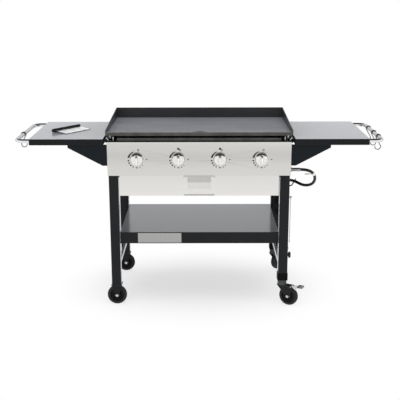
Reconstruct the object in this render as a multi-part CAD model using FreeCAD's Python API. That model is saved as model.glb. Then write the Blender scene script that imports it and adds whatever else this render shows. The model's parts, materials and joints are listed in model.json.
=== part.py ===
import FreeCAD, Part
import math
import os
from FreeCAD import Vector

# Outdoor gas griddle station, in millimetres.
# X runs to the right of someone standing at the knobs, Y runs away from them, Z is up.
# The origin is on the floor, under the middle of the whole object.

# Clearance between pieces that only rest on each other, and how far a cut runs past a face
SEAT_GAP = 0.3
OVERRUN = 5.0

# Griddle plate
GRIDDLE_WIDTH = 905.0
GRIDDLE_DEPTH = 540.0
GRIDDLE_REAR_Y = 288.0
GRIDDLE_THICK = 4.5
GRIDDLE_WALL = 3.2
REAR_WALL_HEIGHT = 54.0
SIDE_WALL_FRONT_HEIGHT = 22.0
FRONT_LIP_HEIGHT = 13.0
DRAIN_WIDTH = 84.0
DRAIN_LENGTH = 74.0
DRAIN_SETBACK = 22.0
FOOT_RADIUS = 8.0
FOOT_HEIGHT = 13.2
FOOT_INSET = 22.5
FOOT_SETBACK = 15.0

# Firebox of folded sheet
SHEET = 1.5
FIREBOX_TOP = 846.0
FIREBOX_HEIGHT = 191.0
SIDE_FLANGE = 14.0
FOOT_TAB = 34.0
FRONT_WALL_CLEARANCE = 2.0
FRONT_BAR_HEIGHT = 9.5
FRONT_BAR_INSET = 30.0
WALL_INSET_FRONT = 2.0
WALL_INSET_REAR = 6.0
VENT_COUNT = 7
VENT_LENGTH = 70.0
VENT_HEIGHT = 12.0

# Control panel and the lower panel with its tray opening
GRIDDLE_OVERHANG = 10.5
PANEL_DROP = 10.0
PANEL_FLOOR_RISE = 16.0
PANEL_SHEET = 1.2
PANEL_PROUD = 37.0
PANEL_RETURN = 18.0
PANEL_SIDE_LAP = 21.0
LOWER_PANEL_LEG_GAP = 6.3
LOWER_PANEL_BELOW_TRAY = 3.5
LOWER_PANEL_SETBACK = 3.0
LOWER_RETURN = 16.0

# Knobs, stems, valves and the gas manifold
KNOB_COUNT = 4
KNOB_PITCH = 200.0
KNOB_DROP = 85.0
KNOB_RADIUS = 32.0
KNOB_GAP = 4.0
KNOB_SKIRT = 5.0
KNOB_DOME = 9.0
KNOB_FACE_RADIUS = 25.0
GRIP_WIDTH = 13.0
GRIP_LENGTH = 50.0
GRIP_HEIGHT = 17.0
STEM_RADIUS = 4.0
STEM_LENGTH = 36.0
STEM_IN_KNOB = 16.0
STEM_FIT = 0.05
KNOB_EDGE = 1.5
GRIP_EDGE = 3.0
PANEL_HOLE_GAP = 3.0
VALVE_WIDTH = 26.0
VALVE_HEIGHT = 28.0
VALVE_DEPTH = 42.0
VALVE_SETBACK = 8.0
STEM_TRAVEL = 3.5
STEM_END_ROOM = 1.0
VALVE_NECK_RADIUS = 7.0
NOZZLE_RADIUS = 5.0
NOZZLE_LENGTH = 18.0
MANIFOLD_RADIUS = 9.5
MANIFOLD_BORE = 7.0
MANIFOLD_RISE = 27.0
MANIFOLD_SETBACK = 29.0
MANIFOLD_OVERRUN = 22.0
INLET_SETBACK = 46.0
INLET_BEND = 22.0
INLET_LEG_GAP = 4.0
INLET_STUB = 8.0
END_CAP_LENGTH = 8.0
END_CAP_LIP = 2.0

# Burners and their igniters
BURNER_RADIUS = 19.0
BURNER_WALL = 1.2
BURNER_REAR_GAP = 26.0
BURNER_PIN_RADIUS = 3.5
MIXER_RADIUS = 12.0
MIXER_MOUTH_RADIUS = 17.0
MIXER_FLARE = 16.0
MIXER_OVERLAP = 3.0
MIXER_PAST_WALL = 2.0
PORT_COUNT = 12
PORT_WIDTH = 3.0
PORT_LENGTH = 14.0
PORT_TILT = 35.0
ELECTRODE_RADIUS = 3.5
ELECTRODE_LENGTH = 52.0
ELECTRODE_TIP = 8.0
ELECTRODE_WIRE = 1.0

# Legs, boots and lower rails
LEG_WIDTH = 47.0
LEG_DEPTH = 45.0
LEG_WALL = 1.6
LEG_CORNER = 3.0
LEG_FRONT_GAP = 8.3
LEG_REAR_GAP = 22.0
BOOT_HEIGHT = 36.0
BOOT_FLOOR = 14.0
BOOT_WALL = 2.2
BOOT_CORNER = 4.0
BOOT_PLUG_GAP = 4.0
BOOT_PLUG_LAP = 2.0
BOOT_BORE_END = 4.0
RAIL_WIDTH = 12.0
RAIL_HEIGHT = 22.0
RAIL_BOTTOM = 212.0

# Bottom shelf
BOTTOM_SHELF_TOP = 377.0
APRON_SETBACK = 17.5
REAR_APRON_REACH = 17.5
APRON_HEIGHT = 57.0
APRON_HEM = 12.0

# Side shelves, gussets and handles
SHELF_GAP = 7.5
SHELF_LENGTH = 355.0
SHELF_RISE = 5.0
SHELF_SKIRT = 29.0
SHELF_PROUD = 6.0
SHELF_REAR_SETBACK = 67.0
SHELF_CORNER = 8.0
GUSSET_SHEET = 2.0
GUSSET_REACH = 172.0
GUSSET_DROP = 104.0
GUSSET_END = 16.0
GUSSET_FOOT = 24.0
GUSSET_FLANGE = 62.0
GUSSET_INSET = 17.0
HANDLE_RADIUS = 9.5
HANDLE_BORE = 8.0
HANDLE_PLUG = 3.0
HANDLE_REACH = 67.0
HANDLE_CORNER = 42.0
HANDLE_END_INSET = 26.0
HANDLE_DROP = 13.0

# Wire hooks that hang on the handles
HOOK_WIRE = 2.0
HOOK_TOP_RADIUS = 12.0
HOOK_LOW_RADIUS = 14.0
HOOK_DROP = 50.0
HOOK_TIP_ANGLE = -15.0
HOOK_END_ANGLE = -195.0
LEFT_HOOK_Y = -85.0
RIGHT_HOOK_YS = (85.0, -48.0, -160.0)

# Grease tray, its runners and the chute above it
TRAY_FRONT_WIDTH = 147.0
TRAY_FRONT_HEIGHT = 94.0
TRAY_SHEET = 1.2
TRAY_DEPTH = 165.0
TRAY_RIM_INSET = 2.5
TRAY_FLOOR_RISE = 4.0
TRAY_RIM = 9.0
TRAY_LIP = 9.0
TRAY_TOP_GAP = 2.5
TRAY_OPENING_GAP = 1.0
RIM_BELOW_FIREBOX = 13.0
RUNNER_SHEET = 1.5
RUNNER_FOOT = 14.0
CHUTE_MARGIN = 4.0
CHUTE_SHEET = 1.0
CHUTE_RIM = 6.0
CHUTE_DROP = 10.0
CHUTE_TOP_GAP = 2.0

# Casters
WHEEL_RADIUS = 49.0
WHEEL_WIDTH = 24.0
HUB_RADIUS = 15.0
RIM_RADIUS = 36.0
WEB_WIDTH = 12.0
TREAD_DEPTH = 6.0
TREAD_SHOULDER = 4.0
TREAD_CROWN = 9.0
RIM_STEP = 1.5
AXLE_RADIUS = 4.0
AXLE_FIT = 0.06
AXLE_HEAD = 6.5
AXLE_HEAD_HEIGHT = 4.0
FORK_SIDE = 8.0
FORK_GAP = 2.5
FORK_SHEET = 2.0
FORK_TOP_WIDTH = 44.0
FORK_LOW_RADIUS = 11.0
CASTER_PLATE = 54.0
CASTER_PLATE_THICK = 4.0
TRAIL = 38.0
SWIVEL_RADIUS = 22.5
FORK_HEADROOM = 4.0
RACE_HEIGHT = 26.0
CASTER_STEM_RADIUS = 5.5
CASTER_STEM_FIT = 0.05
CASTER_STEM_LENGTH = 32.0
FRONT_TRAIL_ANGLE = -30.0
REAR_TRAIL_ANGLE = 45.0
BRAKE_OFFSET = 16.0
BRAKE_DROP = 4.0
BRAKE_PIN_RADIUS = 2.5
BRAKE_THICK = 3.0
BRAKE_REACH = 57.4
BRAKE_SLOPE = -5.0
BRAKE_HEEL = 4.0
BRAKE_HEEL_RISE = 1.0
BRAKE_RISE = 2.0
BRAKE_EAR = 7.0
BRAKE_PEDAL_LENGTH = 22.0
BRAKE_PEDAL_THICK = 8.0
BRAKE_PEDAL_LIP = 4.0
BRAKE_PEDAL_RISE = 1.0
BRAKE_SHOE_START = 7.0
BRAKE_SHOE_LENGTH = 16.0
BRAKE_SHOE_WIDTH = 18.0
BRAKE_SHOE_GAP = 4.0

# Gas hose, regulator and the things on the right side
HOSE_DIAMETER = 9.5
HOSE_ROUTE = (
    (497.0, -204.0, 682.0), (531.0, -204.0, 682.0), (568.0, -191.0, 659.0),
    (580.0, -156.0, 617.0), (566.0, -116.0, 583.0), (530.0, -73.0, 569.0),
    (490.0, -28.0, 583.0), (462.0, 16.0, 578.0), (450.0, 54.0, 545.0),
    (450.0, 64.0, 484.0), (450.0, 64.0, 424.0),
)
FITTING_RADIUS = 9.0
FITTING_HEX = 11.0
FITTING_NUT = 16.0
REGULATOR_RADIUS = 36.0
REGULATOR_THICK = 24.0
REGULATOR_NECK = 14.0
BONNET_RADIUS = 16.0
BONNET_DEPTH = 8.0
SPOUT_LENGTH = 12.0
COUPLING_RADIUS = 19.0
COUPLING_LENGTH = 30.0
HOSE_HOOK_WIRE = 3.0
HOSE_HOOK_Y = -15.0
HOSE_HOOK_RISE = 12.0
HOSE_HOOK_OUT = 12.0
HOSE_HOOK_OPENING = 25.0
HOSE_HOOK_DROP = 101.0
HOSE_HOOK_TIP = 20.7
HOSE_HOOK_TIP_RISE = 36.0
HOSE_HOOK_BEND = 9.0
ROD_WIRE = 1.6
ROD_RING = 7.0
ROD_LENGTH = 214.0
PEG_Z = 556.0
PEG_RADIUS = 2.5
PEG_REACH = 13.0
PEG_HEAD = 2.0
PEG_HEAD_LIP = 1.5
PEG_TAIL = 4.0
TANK_SCREW_Z = 258.0
TANK_KNOB_RADIUS = 16.0
TANK_KNOB_THICK = 10.0
TANK_SCREW_RADIUS = 4.0
TANK_SCREW_LENGTH = 22.0
TANK_KNOB_GAP = 5.5
TANK_NECK_GAP = 1.5
TANK_NECK_RADIUS = 7.0
TANK_KNOB_EDGE = 2.0
TANK_SCREW_FIT = 0.06

# Scraper that lies on the left shelf
GRIP_RADIUS = 9.0
GRIP_END = 4.0
SCRAPER_GRIP_LENGTH = 190.0
BLADE_LENGTH = 170.0
BLADE_DEPTH = 86.0
BLADE_THICK = 1.5
SCRAPER_INSET = 214.6
SCRAPER_SETBACK = 259.0
SCRAPER_ANGLE = 53.6

# Bolt heads
BOLT_HEAD_RADIUS = 6.0
BOLT_HEAD_HEIGHT = 4.0
GUSSET_BOLT_DROPS = (31.0, 83.0)
GUSSET_BOLT_INSET = 43.0
SHELF_BOLT_OFFSETS = (8.0, -4.0)

# Places worked out from the sizes above
GRIDDLE_FRONT_Y = GRIDDLE_REAR_Y - GRIDDLE_DEPTH
GRIDDLE_HALF = GRIDDLE_WIDTH / 2
GRIDDLE_BOTTOM = FIREBOX_TOP + SEAT_GAP + FOOT_HEIGHT
COOK_Z = GRIDDLE_BOTTOM + GRIDDLE_THICK
DRAIN_FRONT_Y = GRIDDLE_FRONT_Y + DRAIN_SETBACK
PANEL_HALF = GRIDDLE_HALF - GRIDDLE_OVERHANG
PANEL_FRONT_Y = GRIDDLE_FRONT_Y - PANEL_PROUD
PANEL_TOP = FIREBOX_TOP - PANEL_DROP
FIREBOX_BOTTOM = FIREBOX_TOP - FIREBOX_HEIGHT
PANEL_BOTTOM = FIREBOX_BOTTOM + PANEL_FLOOR_RISE
BOX_HALF = PANEL_HALF - PANEL_SHEET
BOX_INNER = BOX_HALF - SHEET
BOX_FRONT_Y = GRIDDLE_FRONT_Y + WALL_INSET_FRONT
BOX_REAR_Y = GRIDDLE_REAR_Y - WALL_INSET_REAR
FRONT_WALL_Y = DRAIN_FRONT_Y + DRAIN_LENGTH + CHUTE_MARGIN + FRONT_WALL_CLEARANCE
FLANGE_Z = FIREBOX_TOP - SHEET
LEG_X = BOX_INNER - LEG_WIDTH / 2
LEG_INNER_X = BOX_INNER - LEG_WIDTH
LEG_TOP = FLANGE_Z - SHEET
FRONT_LEG_TOP = PANEL_TOP - PANEL_SHEET - SEAT_GAP
LEG_FRONT_Y = PANEL_FRONT_Y + PANEL_SHEET + LEG_FRONT_GAP + LEG_DEPTH / 2
LEG_REAR_Y = BOX_REAR_Y - SHEET - LEG_REAR_GAP - LEG_DEPTH / 2
LOWER_PANEL_HALF = LEG_INNER_X - LOWER_PANEL_LEG_GAP
BOTTOM_SHELF_FRONT = LEG_FRONT_Y - LEG_DEPTH / 2 + APRON_SETBACK
BOTTOM_SHELF_REAR = LEG_REAR_Y + LEG_DEPTH / 2 + REAR_APRON_REACH
CROWN_TOP = 2 * WHEEL_RADIUS + FORK_HEADROOM + FORK_SHEET
SWIVEL_TOP = CROWN_TOP + RACE_HEIGHT
LEFT_LEG_FOOT = 2 * WHEEL_RADIUS + FORK_HEADROOM + CASTER_PLATE_THICK
BOOT_BOTTOM = SWIVEL_TOP + SEAT_GAP
BOOT_TOP = BOOT_BOTTOM + BOOT_HEIGHT
BRAKE_PIVOT = TRAIL + BRAKE_OFFSET
BRAKE_PIVOT_Z = CROWN_TOP - BRAKE_DROP
KNOB_AXIS_Z = PANEL_TOP - KNOB_DROP
KNOB_XS = [KNOB_PITCH * (i - (KNOB_COUNT - 1) / 2) for i in range(KNOB_COUNT)]
KNOB_BASE_Y = PANEL_FRONT_Y - KNOB_GAP
KNOB_DEPTH = KNOB_SKIRT + KNOB_DOME + GRIP_HEIGHT
STEM_FRONT_Y = KNOB_BASE_Y - STEM_IN_KNOB
STEM_REAR_Y = STEM_FRONT_Y + STEM_LENGTH
VALVE_FRONT_Y = PANEL_FRONT_Y + PANEL_SHEET + VALVE_SETBACK
VALVE_REAR_Y = VALVE_FRONT_Y + VALVE_DEPTH
MANIFOLD_Y = PANEL_FRONT_Y + MANIFOLD_SETBACK
MANIFOLD_Z = FIREBOX_BOTTOM + MANIFOLD_RISE
INLET_Y = BOX_FRONT_Y + INLET_SETBACK
SHELF_INNER_X = GRIDDLE_HALF + SHELF_GAP
SHELF_OUTER_X = SHELF_INNER_X + SHELF_LENGTH
SHELF_FRONT_Y = PANEL_FRONT_Y - SHELF_PROUD
SHELF_REAR_Y = GRIDDLE_REAR_Y - SHELF_REAR_SETBACK
SHELF_TOP = FIREBOX_TOP + SHELF_RISE
SHELF_UNDER = SHELF_TOP - SHELF_SKIRT
HANDLE_Z = SHELF_TOP - HANDLE_DROP
HANDLE_X = SHELF_OUTER_X + HANDLE_REACH
BOOT_INNER_TOP = BOOT_BOTTOM + BOOT_FLOOR
TRAY_TOP = PANEL_BOTTOM - TRAY_TOP_GAP
TRAY_BOTTOM = TRAY_TOP - TRAY_FRONT_HEIGHT
LOWER_PANEL_Y = PANEL_FRONT_Y + LOWER_PANEL_SETBACK
TRAY_FRONT_Y = LOWER_PANEL_Y - 2 * TRAY_SHEET
TRAY_BODY_HALF = TRAY_FRONT_WIDTH / 2 - TRAY_RIM - TRAY_RIM_INSET
LOWER_PANEL_BOTTOM = TRAY_BOTTOM - LOWER_PANEL_BELOW_TRAY
RIM_Z = FIREBOX_BOTTOM - SHEET - RIM_BELOW_FIREBOX
SCRAPER_X = -SHELF_INNER_X - SCRAPER_INSET
SCRAPER_Y = SHELF_FRONT_Y + SCRAPER_SETBACK
FORK_HALF = WHEEL_WIDTH / 2 + FORK_GAP

PARTS = {}
ROD_PEG = []


def block(x0, x1, y0, y1, z0, z1):
    """A box between two corners."""
    return Part.makeBox(x1 - x0, y1 - y0, z1 - z0, Vector(x0, y0, z0))


def bar(start, end, radius):
    """A round bar between two points."""
    run = Vector(*end) - Vector(*start)
    return Part.makeCylinder(radius, run.Length, Vector(*start), run)


def plate(points, thickness):
    """A flat plate from its outline, thick along the given vector."""
    corners = [Vector(*p) for p in points]
    wire = Part.makePolygon(corners + corners[:1])
    return Part.Face(wire).extrude(Vector(*thickness))


def turned(profile, centre, axis):
    """A turned piece from (radius, height) pairs along an axis from a centre."""
    points = [Vector(r, 0, h) for r, h in profile]
    face = Part.Face(Part.makePolygon(points + points[:1]))
    solid = face.revolve(Vector(0, 0, 0), Vector(0, 0, 1), 360)
    solid.Placement = FreeCAD.Placement(
        Vector(*centre), FreeCAD.Rotation(Vector(0, 0, 1), Vector(*axis)))
    return solid


def fuse(shapes):
    """One solid from pieces that meet."""
    whole = shapes[0].multiFuse(shapes[1:]) if len(shapes) > 1 else shapes[0]
    return whole.removeSplitter()


def cut(shape, tools):
    """A solid less several tools."""
    return shape.cut(Part.makeCompound(tools))


def group(shapes):
    """Separate solids that share one node."""
    return Part.makeCompound(shapes)


def mirrored(shape):
    """The same shape on the other side of the middle plane."""
    return shape.mirror(Vector(0, 0, 0), Vector(1, 0, 0))


def swept(wire, start, direction, radius):
    """A round section swept along a wire of lines and arcs."""
    ring = Part.Wire(Part.Circle(Vector(*start), Vector(*direction), radius).toShape())
    shell = Part.BRepOffsetAPI.MakePipeShell(wire)
    shell.add(ring)
    shell.build()
    shell.makeSolid()
    return shell.shape().Solids[0]


def rounded_wire(points, radii):
    """Straight runs joined by tangent arcs, one radius for each inner point."""
    pts = [Vector(*p) for p in points]
    edges = []
    last = pts[0]
    for i, radius in enumerate(radii, start=1):
        back = (pts[i - 1] - pts[i]).normalize()
        ahead = (pts[i + 1] - pts[i]).normalize()
        turn = math.pi - back.getAngle(ahead)
        inset = radius * math.tan(turn / 2)
        enter = pts[i] + back * inset
        leave = pts[i] + ahead * inset
        bisector = (back + ahead).normalize()
        centre = pts[i] + bisector * (radius / math.cos(turn / 2))
        middle = centre - bisector * radius
        if (enter - last).Length > 1e-6:
            edges.append(Part.LineSegment(last, enter).toShape())
        edges.append(Part.Arc(enter, middle, leave).toShape())
        last = leave
    edges.append(Part.LineSegment(last, pts[-1]).toShape())
    return Part.Wire(edges)


def four_corners(x, front, rear):
    """The places of four like pieces, left and right, front and rear."""
    return [(side * x, y) for side in (-1, 1) for y in (front, rear)]


def leg_space(side, y, z0, z1):
    """The room that a leg needs in a sheet, with a little clearance all round."""
    x0, x1 = sorted((side * (LEG_INNER_X - SEAT_GAP), side * (BOX_INNER + SEAT_GAP)))
    half = LEG_DEPTH / 2 + SEAT_GAP
    return block(x0, x1, y - half, y + half, z0, z1)


def griddle():
    """Steel plate with a high rear wall, tapered side walls, a low lip and a drain."""
    w, t = GRIDDLE_HALF, GRIDDLE_WALL
    front, rear = GRIDDLE_FRONT_Y, GRIDDLE_REAR_Y
    floor = block(-w, w, front, rear, GRIDDLE_BOTTOM, COOK_Z)
    back = block(-w, w, rear - t, rear, GRIDDLE_BOTTOM, COOK_Z + REAR_WALL_HEIGHT)
    lip = block(-w, w, front, front + t, GRIDDLE_BOTTOM, COOK_Z + FRONT_LIP_HEIGHT)
    profile = [(-w, front, GRIDDLE_BOTTOM), (-w, rear, GRIDDLE_BOTTOM),
               (-w, rear, COOK_Z + REAR_WALL_HEIGHT),
               (-w, front, COOK_Z + SIDE_WALL_FRONT_HEIGHT)]
    side = plate(profile, (t, 0, 0))
    tray = fuse([floor, back, lip, side, mirrored(side)])
    end = DRAIN_LENGTH / 2
    middle = DRAIN_FRONT_Y + end
    oval = Part.Ellipse(Vector(0, middle, 0), DRAIN_WIDTH / 2, end).toShape()
    drain = Part.Face(Part.Wire(oval)).extrude(Vector(0, 0, 3 * GRIDDLE_THICK))
    drain.translate(Vector(0, 0, GRIDDLE_BOTTOM - GRIDDLE_THICK))
    PARTS["griddle_plate"] = tray.cut(drain)
    places = four_corners(GRIDDLE_HALF - FOOT_INSET, front + FOOT_SETBACK, rear - FOOT_SETBACK)
    PARTS["griddle_feet"] = group([
        bar((x, y, GRIDDLE_BOTTOM - FOOT_HEIGHT), (x, y, GRIDDLE_BOTTOM), FOOT_RADIUS)
        for x, y in places])


def firebox():
    """Folded sheet walls, the front bar under the griddle and the heat shield."""
    front, rear = BOX_FRONT_Y, BOX_REAR_Y
    wall = block(BOX_INNER, BOX_HALF, front, rear, FIREBOX_BOTTOM - SHEET, FIREBOX_TOP)
    wall = wall.cut(bar((BOX_INNER - OVERRUN, INLET_Y, MANIFOLD_Z),
                        (BOX_HALF + OVERRUN, INLET_Y, MANIFOLD_Z), MANIFOLD_RADIUS + STEM_FIT))
    flange = block(BOX_HALF, BOX_HALF + SIDE_FLANGE, front, rear, FLANGE_Z, FIREBOX_TOP)
    foot_x = GRIDDLE_HALF - FOOT_INSET
    tabs = []
    for y in (GRIDDLE_FRONT_Y + FOOT_SETBACK, GRIDDLE_REAR_Y - FOOT_SETBACK):
        low = max(y - FOOT_TAB / 2, front)
        high = min(y + FOOT_TAB / 2, rear - SHEET)
        tabs.append(block(foot_x - FOOT_TAB / 2, BOX_INNER, low, high, FLANGE_Z, FIREBOX_TOP))
    side = fuse([wall, flange] + tabs)
    PARTS["firebox_side_walls"] = group([side, mirrored(side)])

    inside = BOX_INNER
    y = FRONT_WALL_Y
    upright = block(-inside, inside, y, y + SHEET, FIREBOX_BOTTOM, FLANGE_Z)
    ledge = block(-inside, inside, front, y + SHEET, FLANGE_Z - SHEET, FLANGE_Z)
    between = inside - FRONT_BAR_INSET
    apron = block(-between, between, front - SHEET, front, FLANGE_Z - FRONT_BAR_HEIGHT, FLANGE_Z)
    wall = fuse([upright, ledge, apron])
    chute = CHUTE_MARGIN + CHUTE_SHEET
    hole = block(-DRAIN_WIDTH / 2 - chute, DRAIN_WIDTH / 2 + chute, DRAIN_FRONT_Y - chute,
                 DRAIN_FRONT_Y + DRAIN_LENGTH + chute, FIREBOX_BOTTOM, FIREBOX_TOP)
    mixers = [bar((x, y - OVERRUN, KNOB_AXIS_Z), (x, y + OVERRUN, KNOB_AXIS_Z), MIXER_RADIUS)
              for x in KNOB_XS]
    PARTS["firebox_front_wall"] = cut(wall, [hole] + mixers)

    back = block(-inside, inside, rear - SHEET, rear, FIREBOX_BOTTOM, FIREBOX_TOP)
    pitch = 2 * inside / VENT_COUNT
    vents = []
    for i in range(VENT_COUNT):
        x = -inside + pitch * (i + 0.5)
        z = FIREBOX_TOP - 2.5 * VENT_HEIGHT
        vents.append(block(x - VENT_LENGTH / 2, x + VENT_LENGTH / 2, rear - OVERRUN,
                           rear + OVERRUN, z, z + VENT_HEIGHT))
    pins = [bar((x, rear - OVERRUN, KNOB_AXIS_Z), (x, rear + OVERRUN, KNOB_AXIS_Z),
                BURNER_PIN_RADIUS) for x in KNOB_XS]
    PARTS["firebox_rear_wall"] = cut(back, vents + pins)

    shield = block(-inside, inside, front, rear, FIREBOX_BOTTOM - SHEET, FIREBOX_BOTTOM)
    z0, z1 = FIREBOX_BOTTOM - OVERRUN, FIREBOX_BOTTOM + OVERRUN
    slots = [leg_space(s, y, z0, z1) for s in (-1, 1) for y in (LEG_FRONT_Y, LEG_REAR_Y)]
    slots.append(block(-DRAIN_WIDTH / 2 - chute, DRAIN_WIDTH / 2 + chute, DRAIN_FRONT_Y - chute,
                       DRAIN_FRONT_Y + DRAIN_LENGTH + chute, z0, z1))
    PARTS["heat_shield"] = cut(shield, slots)


def panels():
    """The stainless control panel and the lower panel round the grease tray."""
    t = PANEL_SHEET
    y0, y1 = PANEL_FRONT_Y, PANEL_FRONT_Y + t
    face = block(-PANEL_HALF, PANEL_HALF, y0, y1, PANEL_BOTTOM, PANEL_TOP)
    top = block(-PANEL_HALF, PANEL_HALF, y1, BOX_FRONT_Y - SHEET - SEAT_GAP,
                PANEL_TOP - t, PANEL_TOP)
    low = block(-PANEL_HALF, PANEL_HALF, y1, y1 + PANEL_RETURN, PANEL_BOTTOM, PANEL_BOTTOM + t)
    side = block(BOX_HALF, PANEL_HALF, y1, BOX_FRONT_Y + PANEL_SIDE_LAP, PANEL_BOTTOM, PANEL_TOP)
    panel = fuse([face, top, low, side, mirrored(side)])
    holes = [bar((x, y0 - OVERRUN, KNOB_AXIS_Z), (x, y1 + OVERRUN, KNOB_AXIS_Z),
                 STEM_RADIUS + PANEL_HOLE_GAP) for x in KNOB_XS]
    posts = [leg_space(s, LEG_FRONT_Y, PANEL_BOTTOM - OVERRUN, PANEL_BOTTOM + OVERRUN)
             for s in (-1, 1)]
    PARTS["control_panel"] = cut(panel, holes + posts)

    half = LOWER_PANEL_HALF
    bottom = LOWER_PANEL_BOTTOM
    y0, y1 = LOWER_PANEL_Y, LOWER_PANEL_Y + t
    face = block(-half, half, y0, y1, bottom, PANEL_BOTTOM)
    lap = block(-half, half, y1, y1 + PANEL_RETURN - LOWER_PANEL_SETBACK,
                PANEL_BOTTOM - t, PANEL_BOTTOM)
    hem = block(-half, half, y1, y1 + LOWER_RETURN, bottom, bottom + t)
    side = block(half - t, half, y1, y1 + LOWER_RETURN, bottom, PANEL_BOTTOM)
    whole = fuse([face, lap, hem, side, mirrored(side)])
    gap = TRAY_OPENING_GAP
    opening = block(-TRAY_FRONT_WIDTH / 2 - gap, TRAY_FRONT_WIDTH / 2 + gap, y0 - OVERRUN,
                    y1 + LOWER_RETURN + OVERRUN, TRAY_BOTTOM - gap, TRAY_TOP + gap)
    PARTS["lower_front_panel"] = whole.cut(opening)


def knobs_and_valves():
    """Four knobs on push stems, their gas valves and the manifold that feeds them."""
    skirt = KNOB_SKIRT
    dome = KNOB_DOME
    profile = [(0, 0), (KNOB_RADIUS - KNOB_EDGE, 0), (KNOB_RADIUS, KNOB_EDGE), (KNOB_RADIUS, skirt),
               (KNOB_RADIUS - KNOB_EDGE, skirt + dome * 0.45),
               (KNOB_FACE_RADIUS + KNOB_EDGE, skirt + dome * 0.9),
               (KNOB_FACE_RADIUS, skirt + dome), (0, skirt + dome)]
    body = turned(profile, (0, 0, 0), (0, -1, 0))
    half, reach = GRIP_WIDTH / 2, GRIP_LENGTH / 2
    grip = block(-half, half, -KNOB_DEPTH, -skirt - dome / 2, -reach, reach)
    grip = grip.makeFillet(GRIP_EDGE, [e for e in grip.Edges if e.BoundBox.YMax < 1 - KNOB_DEPTH])
    bore = bar((0, -STEM_IN_KNOB, 0), (0, OVERRUN, 0), STEM_RADIUS + STEM_FIT)
    knob = body.fuse(grip).removeSplitter().cut(bore)
    valves = []
    for i, x in enumerate(KNOB_XS, start=1):
        one = knob.copy()
        one.translate(Vector(x, KNOB_BASE_Y, KNOB_AXIS_Z))
        PARTS["knob_%d" % i] = one
        shaft = bar((x, STEM_FRONT_Y, KNOB_AXIS_Z), (x, STEM_REAR_Y, KNOB_AXIS_Z), STEM_RADIUS)
        PARTS["valve_stem_%d" % i] = shaft
        y0, y1 = VALVE_FRONT_Y, VALVE_REAR_Y
        core = block(x - VALVE_WIDTH / 2, x + VALVE_WIDTH / 2, y0, y1,
                     KNOB_AXIS_Z - VALVE_HEIGHT / 2, KNOB_AXIS_Z + VALVE_HEIGHT / 2)
        neck = bar((x, MANIFOLD_Y, MANIFOLD_Z), (x, MANIFOLD_Y, KNOB_AXIS_Z), VALVE_NECK_RADIUS)
        nozzle = bar((x, y1 - OVERRUN, KNOB_AXIS_Z), (x, y1 + NOZZLE_LENGTH, KNOB_AXIS_Z),
                     NOZZLE_RADIUS)
        throat = bar((x, y0 - OVERRUN, KNOB_AXIS_Z),
                     (x, STEM_REAR_Y + STEM_TRAVEL + STEM_END_ROOM, KNOB_AXIS_Z),
                     STEM_RADIUS + STEM_FIT)
        core = core.fuse([neck, nozzle]).removeSplitter()
        pipe_space = bar((x - VALVE_WIDTH, MANIFOLD_Y, MANIFOLD_Z),
                         (x + VALVE_WIDTH, MANIFOLD_Y, MANIFOLD_Z), MANIFOLD_RADIUS)
        valves.append(cut(core, [throat, pipe_space]))
    PARTS["gas_valves"] = group(valves)

    left = KNOB_XS[0] - MANIFOLD_OVERRUN
    turn = LEG_INNER_X - INLET_BEND - MANIFOLD_RADIUS - INLET_LEG_GAP
    path = [(left, MANIFOLD_Y, MANIFOLD_Z), (turn, MANIFOLD_Y, MANIFOLD_Z),
            (turn, INLET_Y, MANIFOLD_Z), (BOX_HALF + INLET_STUB, INLET_Y, MANIFOLD_Z)]
    wire = rounded_wire(path, (INLET_BEND, INLET_BEND))
    outer = swept(wire, path[0], (1, 0, 0), MANIFOLD_RADIUS)
    inner = swept(wire, path[0], (1, 0, 0), MANIFOLD_BORE)
    cap = bar((left - END_CAP_LENGTH, MANIFOLD_Y, MANIFOLD_Z), (left, MANIFOLD_Y, MANIFOLD_Z),
              MANIFOLD_RADIUS + END_CAP_LIP)
    PARTS["gas_manifold"] = outer.cut(inner).fuse(cap).removeSplitter()


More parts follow.
